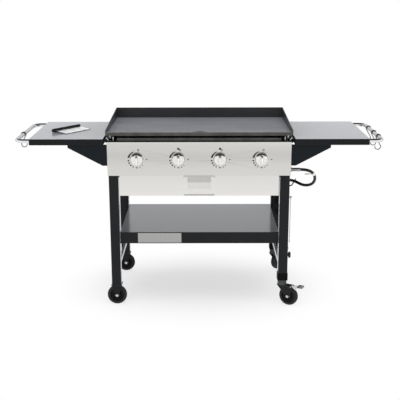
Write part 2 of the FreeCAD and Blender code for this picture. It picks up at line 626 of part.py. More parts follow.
def burners():
    """Straight tube burners with mixing tubes at the front, each with an electrode."""
    mouth = VALVE_REAR_Y + NOZZLE_LENGTH - MIXER_OVERLAP
    throat = FRONT_WALL_Y + SHEET + MIXER_PAST_WALL - mouth
    wide = throat + MIXER_FLARE
    start = mouth + wide
    end = BOX_REAR_Y - BURNER_REAR_GAP
    wall = BURNER_WALL
    z = KNOB_AXIS_Z
    shell = [(MIXER_MOUTH_RADIUS, 0), (MIXER_RADIUS, MIXER_FLARE), (MIXER_RADIUS, throat),
             (BURNER_RADIUS, wide), (BURNER_RADIUS, end - mouth), (0, end - mouth),
             (0, end - mouth - wall), (BURNER_RADIUS - wall, end - mouth - wall),
             (BURNER_RADIUS - wall, wide), (MIXER_RADIUS - wall, throat),
             (MIXER_RADIUS - wall, MIXER_FLARE), (MIXER_MOUTH_RADIUS - wall, 0)]
    tube = turned(shell, (0, mouth, z), (0, 1, 0))
    pin = bar((0, end, z), (0, BOX_REAR_Y, z), BURNER_PIN_RADIUS)
    tube = tube.fuse(pin)
    step = (end - start - PORT_LENGTH) / PORT_COUNT
    ports = []
    for i in range(PORT_COUNT):
        y = start + PORT_LENGTH / 2 + step * i
        for side in (-1, 1):
            slot = block(-PORT_WIDTH / 2, PORT_WIDTH / 2, y, y + PORT_LENGTH, BURNER_RADIUS / 2,
                         BURNER_RADIUS * 1.5)
            slot.rotate(Vector(0, 0, 0), Vector(0, 1, 0), side * PORT_TILT)
            slot.translate(Vector(0, 0, z))
            ports.append(slot)
    tube = cut(tube, ports)
    electrodes = []
    for i, x in enumerate(KNOB_XS, start=1):
        one = tube.copy()
        one.translate(Vector(x, 0, 0))
        PARTS["burner_%d" % i] = one
        ex = x + BURNER_RADIUS + ELECTRODE_RADIUS + SEAT_GAP
        foot = FRONT_WALL_Y + SHEET
        top = foot + ELECTRODE_LENGTH
        rod = bar((ex, foot, z), (ex, top, z), ELECTRODE_RADIUS)
        tip = bar((ex, top, z), (ex, top + ELECTRODE_TIP, z), ELECTRODE_WIRE)
        electrodes.append(rod.fuse(tip).removeSplitter())
    PARTS["igniter_electrodes"] = group(electrodes)


def square_tube(x, y, z0, z1):
    """A leg of square tube, open at both ends."""
    hx, hy, t = LEG_WIDTH / 2, LEG_DEPTH / 2, LEG_WALL
    outer = block(x - hx, x + hx, y - hy, y + hy, z0, z1)
    upright = [e for e in outer.Edges if abs(e.BoundBox.ZLength - (z1 - z0)) < 0.01]
    outer = outer.makeFillet(LEG_CORNER, upright)
    return outer.cut(block(x - hx + t, x + hx - t, y - hy + t, y + hy - t,
                           z0 - OVERRUN, z1 + OVERRUN))


def legs():
    """Four legs, the boots that hold the swivel casters and two lower side rails."""
    boots = []
    for side, name, foot in ((-1, "left", LEFT_LEG_FOOT), (1, "right", BOOT_INNER_TOP)):
        for y, end, top in ((LEG_FRONT_Y, "front", FRONT_LEG_TOP), (LEG_REAR_Y, "rear", LEG_TOP)):
            leg = square_tube(side * LEG_X, y, foot, top)
            if (side, end) == (1, "front"):
                wall = BOX_INNER
                for z, r in ((TANK_SCREW_Z, TANK_SCREW_RADIUS + TANK_SCREW_FIT), (PEG_Z, PEG_RADIUS)):
                    leg = leg.cut(bar((wall - OVERRUN, y, z), (wall + OVERRUN, y, z), r))
            PARTS["%s_%s_leg" % (end, name)] = leg
    for y in (LEG_FRONT_Y, LEG_REAR_Y):
        hx, hy, t = LEG_WIDTH / 2, LEG_DEPTH / 2, BOOT_WALL
        boot = block(LEG_X - hx - t, LEG_X + hx + t, y - hy - t, y + hy + t, BOOT_BOTTOM, BOOT_TOP)
        boot = boot.makeFillet(BOOT_CORNER, [e for e in boot.Edges if e.BoundBox.ZLength > 1])
        socket = block(LEG_X - hx, LEG_X + hx, y - hy, y + hy, BOOT_INNER_TOP, BOOT_TOP + OVERRUN)
        core = LEG_DEPTH / 2 - LEG_WALL - BOOT_PLUG_GAP
        plug = bar((LEG_X, y, BOOT_INNER_TOP - BOOT_PLUG_LAP), (LEG_X, y, BOOT_TOP), core)
        hole = bar((LEG_X, y, BOOT_BOTTOM - OVERRUN), (LEG_X, y, BOOT_TOP - BOOT_BORE_END),
                   CASTER_STEM_RADIUS + CASTER_STEM_FIT)
        boots.append(boot.cut(socket).fuse(plug).cut(hole).removeSplitter())
    PARTS["leg_boots"] = group(boots)
    half = LEG_DEPTH / 2
    rail = block(LEG_INNER_X, LEG_INNER_X + RAIL_WIDTH, LEG_FRONT_Y + half, LEG_REAR_Y - half,
                 RAIL_BOTTOM, RAIL_BOTTOM + RAIL_HEIGHT)
    PARTS["lower_side_rails"] = group([rail, mirrored(rail)])


def bottom_shelf():
    """Folded tray shelf between the legs with a deep apron at the front."""
    t = SHEET
    half = LEG_INNER_X
    y0, y1 = BOTTOM_SHELF_FRONT, BOTTOM_SHELF_REAR
    top, low = BOTTOM_SHELF_TOP, BOTTOM_SHELF_TOP - APRON_HEIGHT
    deck = block(-half, half, y0, y1, top - t, top)
    front = block(-half, half, y0, y0 + t, low, top)
    back = block(-half, half, y1 - t, y1, low, top)
    hem = block(-half, half, y0, y0 + APRON_HEM, low, low + t)
    rear_hem = block(-half, half, y1 - APRON_HEM, y1, low, low + t)
    side = block(half - t, half, y0, y1, low + APRON_HEM, top)
    PARTS["bottom_shelf"] = fuse([deck, front, back, hem, rear_hem, side, mirrored(side)])


def side_shelves():
    """Two folded sheet shelves, their gussets and the chrome rails at their ends."""
    t = SHEET
    x0, x1 = SHELF_INNER_X, SHELF_OUTER_X
    y0, y1 = SHELF_FRONT_Y, SHELF_REAR_Y
    outer = block(x0, x1, y0, y1, SHELF_UNDER, SHELF_TOP)
    corners = [e for e in outer.Edges if e.BoundBox.ZLength > 1 and e.BoundBox.XMax > x1 - 1]
    outer = outer.makeFillet(SHELF_CORNER, corners)
    outer = outer.makeFillet(t, [e for e in outer.Edges
                                 if e.BoundBox.ZMin > SHELF_TOP - 0.01])
    inside = block(x0 + t, x1 - t, y0 + t, y1 - t, SHELF_UNDER - OVERRUN,
                   SHELF_TOP - t)
    corners = [e for e in inside.Edges if e.BoundBox.ZLength > 1 and e.BoundBox.XMax > x1 - t - 1]
    inside = inside.makeFillet(SHELF_CORNER - t, corners)
    shelf = outer.cut(inside)
    PARTS["right_side_shelf"] = shelf
    PARTS["left_side_shelf"] = mirrored(shelf)

    g = GUSSET_SHEET
    under, low = SHELF_UNDER, SHELF_UNDER - GUSSET_DROP
    end = x0 + GUSSET_REACH
    front = y0 + GUSSET_INSET
    rear = min(y1 - GUSSET_INSET, BOX_REAR_Y) - g
    gussets = []
    for y, foot, a, b in ((front, PANEL_HALF, front + g, front + GUSSET_FLANGE),
                          (rear, BOX_HALF, rear + g - GUSSET_FLANGE, rear)):
        reach = foot + GUSSET_FOOT
        outline = [(foot, y, low), (reach, y, low), (end, y, under - GUSSET_END),
                   (end, y, under), (foot, y, under)]
        web = plate(outline, (0, g, 0))
        top = block(x0, end, a, b, under - g, under)
        wall = block(foot, foot + g, a, b, low, under)
        lower = block(foot, reach, a, b, low, low + g)
        gussets.append(fuse([web, top, wall, lower]))
    PARTS["shelf_gussets"] = group(gussets + [mirrored(s) for s in gussets])

    a, b = y0 + HANDLE_END_INSET, y1 - HANDLE_END_INSET
    route = [(x1, a, HANDLE_Z), (HANDLE_X, a, HANDLE_Z), (HANDLE_X, b, HANDLE_Z), (x1, b, HANDLE_Z)]
    wire = rounded_wire(route, (HANDLE_CORNER, HANDLE_CORNER))
    rail = swept(wire, route[0], (1, 0, 0), HANDLE_RADIUS)
    rail = rail.cut(swept(wire, route[0], (1, 0, 0), HANDLE_BORE))
    ends = [bar((x1, y, HANDLE_Z), (x1 + HANDLE_PLUG, y, HANDLE_Z), HANDLE_BORE) for y in (a, b)]
    rail = rail.fuse(ends).removeSplitter()
    PARTS["right_handle"] = rail
    PARTS["left_handle"] = mirrored(rail)


def s_hook(y):
    """A wire hook over the right handle, turned so that it hangs at rest."""
    top, low, drop = HOOK_TOP_RADIUS, HOOK_LOW_RADIUS, HOOK_DROP
    lean = math.asin((top + low) / drop)
    c1, c2 = Vector(0, 0, 0), Vector(0, 0, -drop)

    def on(centre, radius, angle):
        return centre + Vector(radius * math.cos(angle), 0, radius * math.sin(angle))

    tip = math.radians(HOOK_TIP_ANGLE)
    leave = math.pi + lean
    arc1 = Part.Arc(on(c1, top, tip), on(c1, top, (tip + leave) / 2), on(c1, top, leave))
    enter = lean
    finish = math.radians(HOOK_END_ANGLE)
    arc2 = Part.Arc(on(c2, low, enter), on(c2, low, (enter + finish) / 2), on(c2, low, finish))
    run = Part.LineSegment(on(c1, top, leave), on(c2, low, enter))
    wire = Part.Wire([arc1.toShape(), run.toShape(), arc2.toShape()])
    start = on(c1, top, tip)
    tangent = (-math.sin(tip), 0, math.cos(tip))
    hook = swept(wire, (start.x, start.y, start.z), tangent, HOOK_WIRE)
    mass = hook.CenterOfMass
    swing = math.degrees(math.atan2(mass.x, -mass.z))
    hook.rotate(Vector(0, 0, 0), Vector(0, 1, 0), swing)
    hook.translate(Vector(HANDLE_X, y, HANDLE_Z - (top - HOOK_WIRE - HANDLE_RADIUS) + SEAT_GAP))
    return hook


def hooks():
    """One hook on the left handle and three on the right one."""
    for i, y in enumerate(RIGHT_HOOK_YS, start=1):
        PARTS["right_hook_%d" % i] = s_hook(y)
    PARTS["left_hook"] = mirrored(s_hook(LEFT_HOOK_Y))


def grease_parts():
    """The drain chute, the pull out grease tray and the runners that carry it."""
    m, c = CHUTE_MARGIN, CHUTE_SHEET
    x1 = DRAIN_WIDTH / 2 + m
    y0, y1 = DRAIN_FRONT_Y - m, DRAIN_FRONT_Y + DRAIN_LENGTH + m
    z0, z1 = FIREBOX_BOTTOM - CHUTE_DROP, GRIDDLE_BOTTOM - CHUTE_TOP_GAP
    outer = block(-x1, x1, y0, y1, z0, z1)
    inner = block(-x1 + c, x1 - c, y0 + c, y1 - c, z0 - OVERRUN, z1 + OVERRUN)
    rim = block(-x1 - CHUTE_RIM, x1 + CHUTE_RIM, y0 - CHUTE_RIM, y1 + c, FLANGE_Z, FLANGE_Z + c)
    chute = outer.fuse(rim).cut(inner).removeSplitter()
    PARTS["grease_chute"] = chute

    t = TRAY_SHEET
    half = TRAY_BODY_HALF
    face_half = TRAY_FRONT_WIDTH / 2
    back = TRAY_FRONT_Y + TRAY_DEPTH
    low = TRAY_BOTTOM + TRAY_FLOOR_RISE
    face = block(-face_half, face_half, TRAY_FRONT_Y, TRAY_FRONT_Y + t, TRAY_BOTTOM, TRAY_TOP)
    lip = block(-face_half, face_half, TRAY_FRONT_Y - TRAY_LIP, TRAY_FRONT_Y, TRAY_BOTTOM, TRAY_BOTTOM + t)
    cup = block(-half, half, TRAY_FRONT_Y + t, back, low, RIM_Z)
    rims = block(-half - TRAY_RIM, half + TRAY_RIM, TRAY_FRONT_Y + t, back, RIM_Z - t, RIM_Z)
    hollow = block(-half + t, half - t, TRAY_FRONT_Y + 2 * t, back - t, low + t, RIM_Z + OVERRUN)
    PARTS["grease_tray"] = fuse([face, lip, cup, rims]).cut(hollow)

    r = RUNNER_SHEET
    inner_x = half + TRAY_RIM + SEAT_GAP
    ledge = block(half + SEAT_GAP, inner_x + r, LOWER_PANEL_Y + PANEL_SHEET, back,
                  RIM_Z - t - SEAT_GAP - r, RIM_Z - t - SEAT_GAP)
    web = block(inner_x, inner_x + r, BOX_FRONT_Y, back, RIM_Z - t - SEAT_GAP - r, FIREBOX_BOTTOM - SHEET)
    foot = block(inner_x, inner_x + RUNNER_FOOT, BOX_FRONT_Y, back,
                 FIREBOX_BOTTOM - SHEET - r, FIREBOX_BOTTOM - SHEET)
    runner = fuse([ledge, web, foot])
    PARTS["tray_runners"] = group([runner, mirrored(runner)])


def wheel(x, y, angle):
    """A caster wheel with a rubber tread, thin web and hub, its axle at an angle."""
    w, h = WHEEL_WIDTH / 2, WEB_WIDTH / 2
    bore = AXLE_RADIUS + AXLE_FIT
    near = [(bore, w), (HUB_RADIUS, w), (HUB_RADIUS + RIM_STEP, h), (RIM_RADIUS - RIM_STEP, h),
            (RIM_RADIUS, w - RIM_STEP / 2), (WHEEL_RADIUS - TREAD_DEPTH, w),
            (WHEEL_RADIUS - RIM_STEP, w - TREAD_SHOULDER), (WHEEL_RADIUS, w - TREAD_CROWN)]
    profile = [(r, -u) for r, u in near] + near[::-1]
    a = math.radians(angle)
    return turned(profile, (x, y, WHEEL_RADIUS), (math.sin(a), -math.cos(a), 0))


def fork_cheek(offset, top, low_u, ear):
    """One side plate of a fork, from its crown of the given reach down to the axle."""
    half = FORK_TOP_WIDTH / 2
    r = FORK_LOW_RADIUS
    z = WHEEL_RADIUS
    outline = [(-half, offset, top), (ear, offset, top), (ear, offset, top - FORK_SIDE),
               (low_u + r, offset, z), (low_u, offset, z - r), (low_u - r, offset, z)]
    sheet = plate(outline, (0, FORK_SHEET, 0))
    boss = bar((low_u, offset, z), (low_u, offset + FORK_SHEET, z), r)
    return sheet.fuse(boss)


def axle(u):
    """The bolt and nut through a fork, at a distance along it."""
    z = WHEEL_RADIUS
    out = FORK_HALF + FORK_SHEET
    shank = bar((u, -out, z), (u, out, z), AXLE_RADIUS)
    head = bar((u, -out - AXLE_HEAD_HEIGHT, z), (u, -out, z), AXLE_HEAD)
    nut = bar((u, out, z), (u, out + AXLE_HEAD_HEIGHT, z), AXLE_HEAD)
    return fuse([shank, head, nut])


def placed(shape, x, y, angle):
    """A shape made about the origin, turned about Z and moved to its place."""
    one = shape.copy()
    one.rotate(Vector(0, 0, 0), Vector(0, 0, 1), angle)
    one.translate(Vector(x, y, 0))
    return one


def fork_cheeks(top, low_u, ear):
    """Both side plates of a fork."""
    return [fork_cheek(y, top, low_u, ear) for y in (-FORK_HALF - FORK_SHEET, FORK_HALF)]


def cross_hole(u, z, radius):
    """A hole across both side plates of a fork."""
    reach = FORK_HALF + FORK_SHEET + OVERRUN
    return bar((u, -reach, z), (u, reach, z), radius)


def fixed_casters():
    """Two casters that don't turn, bolted flat under the left legs."""
    size = CASTER_PLATE / 2
    crown = LEFT_LEG_FOOT - CASTER_PLATE_THICK
    base = block(-size, size, -size, size, crown, LEFT_LEG_FOOT)
    cheeks = fork_cheeks(crown, 0, FORK_TOP_WIDTH / 2)
    fork = fuse([base] + cheeks).cut(cross_hole(0, WHEEL_RADIUS, AXLE_RADIUS))
    forks = []
    for y, end in ((LEG_FRONT_Y, "front"), (LEG_REAR_Y, "rear")):
        forks += [placed(fork, -LEG_X, y, 0), placed(axle(0), -LEG_X, y, 0)]
        PARTS["%s_left_wheel" % end] = wheel(-LEG_X, y, 0)
    PARTS["fixed_caster_forks"] = group(forks)


def swivel_fork():
    """A fork that trails behind its stem, with ears for the brake pin."""
    top = CROWN_TOP
    half = FORK_TOP_WIDTH / 2
    out = FORK_HALF + FORK_SHEET
    crown = block(-half, half, -out, out, top - FORK_SHEET, top)
    race = bar((0, 0, top), (0, 0, SWIVEL_TOP), SWIVEL_RADIUS)
    stem = bar((0, 0, SWIVEL_TOP), (0, 0, SWIVEL_TOP + CASTER_STEM_LENGTH), CASTER_STEM_RADIUS)
    cheeks = fork_cheeks(top, TRAIL, BRAKE_PIVOT + BRAKE_EAR)
    holes = [cross_hole(TRAIL, WHEEL_RADIUS, AXLE_RADIUS),
             cross_hole(BRAKE_PIVOT, BRAKE_PIVOT_Z, BRAKE_PIN_RADIUS + STEM_FIT)]
    return cut(fuse([crown, race, stem] + cheeks), holes)


def brake_lever():
    """A foot lever on a pin through the fork, with a shoe over the wheel and a thick pedal."""
    z = BRAKE_PIVOT_Z
    out = FORK_HALF + FORK_SHEET
    inner = FORK_HALF - SEAT_GAP
    slope = math.radians(BRAKE_SLOPE)
    tip_u = BRAKE_PIVOT + BRAKE_REACH * math.cos(slope)
    tip_z = z - BRAKE_REACH * math.sin(slope)
    pin = bar((BRAKE_PIVOT, -out, z), (BRAKE_PIVOT, out, z), BRAKE_PIN_RADIUS)
    top = [(BRAKE_PIVOT - BRAKE_HEEL, z + BRAKE_HEEL_RISE), (BRAKE_PIVOT, z + BRAKE_RISE),
           (tip_u, tip_z + BRAKE_RISE)]
    edge = top + [(u, w - BRAKE_THICK) for u, w in top[::-1]]
    lever = plate([(u, -inner, w) for u, w in edge], (0, 2 * inner, 0))
    half = BRAKE_PEDAL_THICK / 2
    pedal = block(tip_u - BRAKE_PEDAL_LENGTH, tip_u + BRAKE_PEDAL_LIP, -inner, inner,
                  tip_z - half + BRAKE_PEDAL_RISE, tip_z + half + BRAKE_PEDAL_RISE)
    start = BRAKE_PIVOT + BRAKE_SHOE_START
    side = BRAKE_SHOE_WIDTH / 2
    shoe = block(start, start + BRAKE_SHOE_LENGTH, -side, side, WHEEL_RADIUS, z)
    rolling = bar((TRAIL, -OVERRUN - side, WHEEL_RADIUS), (TRAIL, OVERRUN + side, WHEEL_RADIUS),
                  WHEEL_RADIUS + BRAKE_SHOE_GAP)
    return fuse([lever, pin, pedal, shoe.cut(rolling)])


def swivel_casters():
    """Two swivel casters with brakes, whose stems turn in the right legs' boots."""
    fork, bolt, brake = swivel_fork(), axle(TRAIL), brake_lever()
    for y, end, angle in ((LEG_FRONT_Y, "front", FRONT_TRAIL_ANGLE),
                          (LEG_REAR_Y, "rear", REAR_TRAIL_ANGLE)):
        a = math.radians(angle)
        PARTS["%s_right_fork" % end] = group([placed(fork, LEG_X, y, angle),
                                              placed(bolt, LEG_X, y, angle)])
        PARTS["%s_right_brake" % end] = placed(brake, LEG_X, y, angle)
        PARTS["%s_right_wheel" % end] = wheel(LEG_X + TRAIL * math.cos(a),
                                              y + TRAIL * math.sin(a), angle)


def gas_line():
    """The fitting on the manifold, the hose and the regulator with its tank coupling."""
    start = Vector(*HOSE_ROUTE[0])
    inlet = BOX_HALF + SEAT_GAP
    y, z = INLET_Y, MANIFOLD_Z
    hexes = Part.makePolygon([Vector(inlet, y + FITTING_HEX * math.cos(math.radians(60 * k)),
                                     z + FITTING_HEX * math.sin(math.radians(60 * k)))
                              for k in range(7)])
    nut = Part.Face(hexes).extrude(Vector(FITTING_NUT, 0, 0))
    sleeve = bar((inlet + FITTING_NUT, y, z), (start.x, y, z), FITTING_RADIUS)
    socket = bar((inlet - OVERRUN, y, z), (BOX_HALF + INLET_STUB, y, z), MANIFOLD_RADIUS)
    PARTS["hose_fitting"] = nut.fuse(sleeve).cut(socket).removeSplitter()

    pts = [Vector(*p) for p in HOSE_ROUTE]
    radii = []
    for i in range(1, len(pts) - 1):
        before, after = pts[i] - pts[i - 1], pts[i + 1] - pts[i]
        radii.append(0.45 * min(before.Length, after.Length) / math.tan(before.getAngle(after) / 2))
    wire = rounded_wire(HOSE_ROUTE, radii)
    hose = swept(wire, HOSE_ROUTE[0], tuple(pts[1] - pts[0]), HOSE_DIAMETER / 2)
    PARTS["gas_hose"] = hose
    section = math.pi * HOSE_DIAMETER ** 2 / 4
    print("hose length %.1f, least radius %.1f, radii %s" % (
        wire.Length, min(radii), " ".join("%.0f" % r for r in radii)))
    print("hose volume against section times length %.4f" % (hose.Volume / (section * wire.Length)))

    end = pts[-1]
    x, y, z = end.x, end.y, end.z
    disc_z = z - REGULATOR_NECK - REGULATOR_RADIUS
    low = disc_z - REGULATOR_RADIUS
    half = REGULATOR_THICK / 2
    stalk = bar((x, y, low - SPOUT_LENGTH), (x, y, z), FITTING_RADIUS)
    disc = bar((x - half, y, disc_z), (x + half, y, disc_z), REGULATOR_RADIUS)
    bonnet = bar((x - half - BONNET_DEPTH, y, disc_z), (x - half, y, disc_z), BONNET_RADIUS)
    coupling = bar((x, y, low - SPOUT_LENGTH - COUPLING_LENGTH), (x, y, low - SPOUT_LENGTH),
                   COUPLING_RADIUS)
    PARTS["regulator"] = fuse([stalk, disc, bonnet, coupling])


def right_side_fittings():
    """Hose hook, lighting rod on its peg and the tank screw, all on the right side."""
    y = HOSE_HOOK_Y
    wall = BOX_HALF
    top, low = FIREBOX_BOTTOM + HOSE_HOOK_RISE, FIREBOX_BOTTOM - HOSE_HOOK_DROP
    near = wall + HOSE_HOOK_OUT
    far = near + HOSE_HOOK_OPENING
    route = [(wall, y, top), (near, y, top), (near, y, low), (far, y, low),
             (far + HOSE_HOOK_TIP, y, low + HOSE_HOOK_TIP_RISE)]
    bend = HOSE_HOOK_BEND
    wire = rounded_wire(route, (bend, bend, bend))
    PARTS["hose_hook"] = swept(wire, route[0], (1, 0, 0), HOSE_HOOK_WIRE)

    leg_face = BOX_INNER
    y = LEG_FRONT_Y
    tip = leg_face + PEG_REACH
    peg = bar((leg_face - LEG_WALL - PEG_TAIL, y, PEG_Z), (tip, y, PEG_Z), PEG_RADIUS)
    head = bar((tip, y, PEG_Z), (tip + PEG_HEAD, y, PEG_Z), PEG_RADIUS + PEG_HEAD_LIP)
    ROD_PEG.append(peg.fuse(head).removeSplitter())
    x = leg_face + PEG_REACH * 0.65
    centre = PEG_Z - (ROD_RING - ROD_WIRE - PEG_RADIUS) + SEAT_GAP
    ring = Part.makeTorus(ROD_RING, ROD_WIRE, Vector(x, y, centre), Vector(1, 0, 0))
    low = centre - ROD_RING - ROD_LENGTH
    stem = bar((x, y, low), (x, y, centre - ROD_RING), ROD_WIRE)
    clip = Part.makeTorus(ROD_RING * 0.6, ROD_WIRE, Vector(x, y, low - ROD_RING * 0.6), Vector(1, 0, 0))
    PARTS["lighting_rod"] = fuse([stem, ring, clip])

    z = TANK_SCREW_Z
    inner_face = leg_face + TANK_KNOB_GAP
    shank = bar((leg_face - TANK_SCREW_LENGTH, y, z), (inner_face, y, z), TANK_SCREW_RADIUS)
    neck = bar((leg_face + TANK_NECK_GAP, y, z), (inner_face, y, z), TANK_NECK_RADIUS)
    knob = bar((inner_face, y, z), (inner_face + TANK_KNOB_THICK, y, z), TANK_KNOB_RADIUS)
    knob = knob.makeFillet(TANK_KNOB_EDGE, [e for e in knob.Edges if len(e.Vertexes) == 1])
    PARTS["tank_screw"] = fuse([shank, neck, knob])


def scraper():
    """A griddle scraper with a round grip along the rear edge of its blade."""
    half = SCRAPER_GRIP_LENGTH / 2
    r = GRIP_RADIUS
    grip = bar((-half, 0, r), (half, 0, r), r)
    grip = grip.makeFillet(GRIP_END, [e for e in grip.Edges if len(e.Vertexes) == 1])
    tilt = math.degrees(math.asin((r - BLADE_THICK) / BLADE_DEPTH))
    half, thick = BLADE_LENGTH / 2, BLADE_THICK / 2
    blade = block(-half, half, -BLADE_DEPTH, 0, -thick, thick)
    blade.rotate(Vector(0, 0, 0), Vector(1, 0, 0), tilt)
    blade.translate(Vector(0, 0, r))
    grip = grip.cut(blade)
    for name, shape in (("scraper_grip", grip), ("scraper_blade", blade)):
        one = placed(shape, SCRAPER_X, SCRAPER_Y, SCRAPER_ANGLE)
        one.translate(Vector(0, 0, SHELF_TOP + SEAT_GAP))
        PARTS[name] = one


def bolts():
    """Bolt heads that show: gusset to wall, shelf apron to leg, handle to shelf."""
    heads = []
    r, h = BOLT_HEAD_RADIUS, BOLT_HEAD_HEIGHT
    for side in (-1, 1):
        front = SHELF_FRONT_Y + GUSSET_INSET + GUSSET_BOLT_INSET
        rear = min(SHELF_REAR_Y - GUSSET_INSET, BOX_REAR_Y) - GUSSET_BOLT_INSET
        for y, foot in ((front, PANEL_HALF), (rear, BOX_HALF)):
            for drop in GUSSET_BOLT_DROPS:
                z = SHELF_UNDER - drop
                x = side * (foot + GUSSET_SHEET)
                heads.append(bar((x, y, z), (x + side * h, y, z), r))
        x = side * (SHELF_OUTER_X - SHEET)
        for y in (SHELF_FRONT_Y + HANDLE_END_INSET, SHELF_REAR_Y - HANDLE_END_INSET):
            heads.append(bar((x - side * h, y, HANDLE_Z), (x, y, HANDLE_Z), r))
        x = side * (LEG_INNER_X - SHEET)
        for y, offset in zip((LEG_FRONT_Y, LEG_REAR_Y), SHELF_BOLT_OFFSETS):
            z = BOTTOM_SHELF_TOP - APRON_HEIGHT / 2
            heads.append(bar((x - side * h, y + offset, z), (x, y + offset, z), r))
    PARTS["bolts_and_peg"] = group(heads + ROD_PEG)


def main():
    for build in (griddle, firebox, panels, knobs_and_valves, burners, legs, bottom_shelf,
                  side_shelves, hooks, grease_parts, fixed_casters, swivel_casters, gas_line,
                  right_side_fittings, scraper, bolts):
        build()
    os.makedirs("parts", exist_ok=True)
    for name, shape in PARTS.items():
        if not shape.isValid():
            print("not valid:", name)
        shape.exportStep("parts/%s.step" % name)
    low = [min(getattr(s.BoundBox, k + "Min") for s in PARTS.values()) for k in "XYZ"]
    high = [max(getattr(s.BoundBox, k + "Max") for s in PARTS.values()) for k in "XYZ"]
    print(len(PARTS), "nodes, low", [round(v, 2) for v in low], "high", [round(v, 2) for v in high])


main()
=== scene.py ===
import json
import math

import bmesh
import bpy
from bpy.props import FloatProperty, FloatVectorProperty, IntProperty, PointerProperty
from mathutils import Matrix, Vector


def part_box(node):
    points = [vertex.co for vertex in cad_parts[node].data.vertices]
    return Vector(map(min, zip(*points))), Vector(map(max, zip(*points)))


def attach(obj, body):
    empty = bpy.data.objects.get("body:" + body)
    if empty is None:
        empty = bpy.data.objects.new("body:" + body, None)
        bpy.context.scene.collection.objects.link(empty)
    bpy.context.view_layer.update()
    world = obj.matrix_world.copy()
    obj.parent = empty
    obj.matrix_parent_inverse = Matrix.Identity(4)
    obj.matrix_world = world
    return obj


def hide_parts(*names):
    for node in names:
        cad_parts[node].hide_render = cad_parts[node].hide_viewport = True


bl_info = {
    "name": "Outdoor gas griddle station",
    "version": (1, 0, 0),
    "blender": (4, 5, 0),
    "location": "View3D > Sidebar > Griddle",
    "description": "Finishes, hose, knobs, casters and small parts of a gas griddle station",
    "category": "Object",
}

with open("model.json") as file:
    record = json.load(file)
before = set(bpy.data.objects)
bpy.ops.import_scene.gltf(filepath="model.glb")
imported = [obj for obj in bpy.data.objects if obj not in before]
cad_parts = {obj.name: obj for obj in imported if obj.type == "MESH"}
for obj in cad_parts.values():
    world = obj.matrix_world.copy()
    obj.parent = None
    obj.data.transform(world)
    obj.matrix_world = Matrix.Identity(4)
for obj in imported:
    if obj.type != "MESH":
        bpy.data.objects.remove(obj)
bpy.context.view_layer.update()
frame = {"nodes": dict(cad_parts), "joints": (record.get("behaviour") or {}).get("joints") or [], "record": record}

MM = 0.001
SHARP = math.radians(32.0)  # edges that turn more than this stay sharp

# Middle line of the gas hose, from its fitting to its regulator, in metres
HOSE_ROUTE = (
    (0.497, -0.204, 0.682), (0.531, -0.204, 0.682), (0.568, -0.191, 0.659),
    (0.580, -0.156, 0.617), (0.566, -0.116, 0.583), (0.530, -0.073, 0.569),
    (0.490, -0.028, 0.583), (0.462, 0.016, 0.578), (0.450, 0.054, 0.545),
    (0.450, 0.064, 0.484), (0.450, 0.064, 0.424),
)


def colour_of(name, description, default):
    """A colour that a user would change, as a linear value."""
    return FloatVectorProperty(name=name, description=description, default=default,
                               size=3, min=0.0, max=1.0, subtype="COLOR")


def length_of(name, description, default):
    """A length that a user would change, in metres."""
    return FloatProperty(name=name, description=description, default=default,
                         min=0.0, unit="LENGTH", subtype="DISTANCE", precision=5)


class GriddleColours(bpy.types.PropertyGroup):
    plate: colour_of("Cooking plate", "Seasoned rolled steel", (0.016, 0.0165, 0.0185))
    cooking_face: colour_of("Cooking face", "Worn face that food lies on", (0.158, 0.162, 0.180))
    paint: colour_of("Shelf coat", "Black powder coat on the side shelves", (0.0028, 0.0031, 0.0042))
    # Lighter than the shelf coat: a lit copy of the same black coat, painted light on legs, low shelf, rails and
    # forks.
    leg_paint_lit: colour_of("Leg coat", "Black powder coat on legs and low shelf", (0.0064, 0.0068, 0.0080))
    # Darker than the shelf coat: painted shade under the shelves, with a blue cast.
    gusset: colour_of("Gusset coat", "Black coat with a blue cast", (0.0006, 0.0030, 0.0056))
    lip: colour_of("Lip face", "Bare front face of the cooking plate", (0.072, 0.071, 0.067))
    # A near-black shade of this serves for soot, black parts and painted shade in gaps and recesses.
    smoked: colour_of("Smoked sheet", "Front trim and sooty sheets", (0.080, 0.078, 0.077))
    caster_head: colour_of("Caster head", "Phosphated swivel heads", (0.060, 0.066, 0.066))
    stainless: colour_of("Stainless", "Brushed panels and cast knobs", (0.70, 0.69, 0.67))
    chrome: colour_of("Chrome", "Rails and hooks", (0.80, 0.805, 0.82))
    zinc: colour_of("Zinc", "Bolts, nuts and feet", (0.60, 0.605, 0.62))
    galvanised: colour_of("Galvanised", "Hose fitting and regulator", (0.45, 0.455, 0.46))
    rubber: colour_of("Rubber", "Tyres and discs of the casters", (0.014, 0.0145, 0.015))
    plastic: colour_of("Black plastic", "Grip, screw knob and pedals", (0.005, 0.005, 0.0055))
    pedal: colour_of("Pedal", "Grey tread of the brake pedals", (0.20, 0.205, 0.215))
    hose: colour_of("Hose", "Cover of the gas hose", (0.004, 0.004, 0.0045))
    brass: colour_of("Brass", "Valves", (0.62, 0.45, 0.20))
    ceramic: colour_of("Ceramic", "Igniter bodies and hose band", (0.82, 0.81, 0.77))
    foil: colour_of("Foil", "Blank plate on the shelf apron", (0.37, 0.375, 0.365))
    grey_label: colour_of("Grey label", "Upper field of the tray's label", (0.50, 0.495, 0.48))
    pale_label: colour_of("Pale label", "Lower field of the tray's label", (0.68, 0.67, 0.65))
    blade: colour_of("Blade", "Scraper blade, bezels and knob grips", (0.94, 0.94, 0.93))
    print: colour_of("Print", "Setting marks round the knobs", (0.020, 0.020, 0.020))


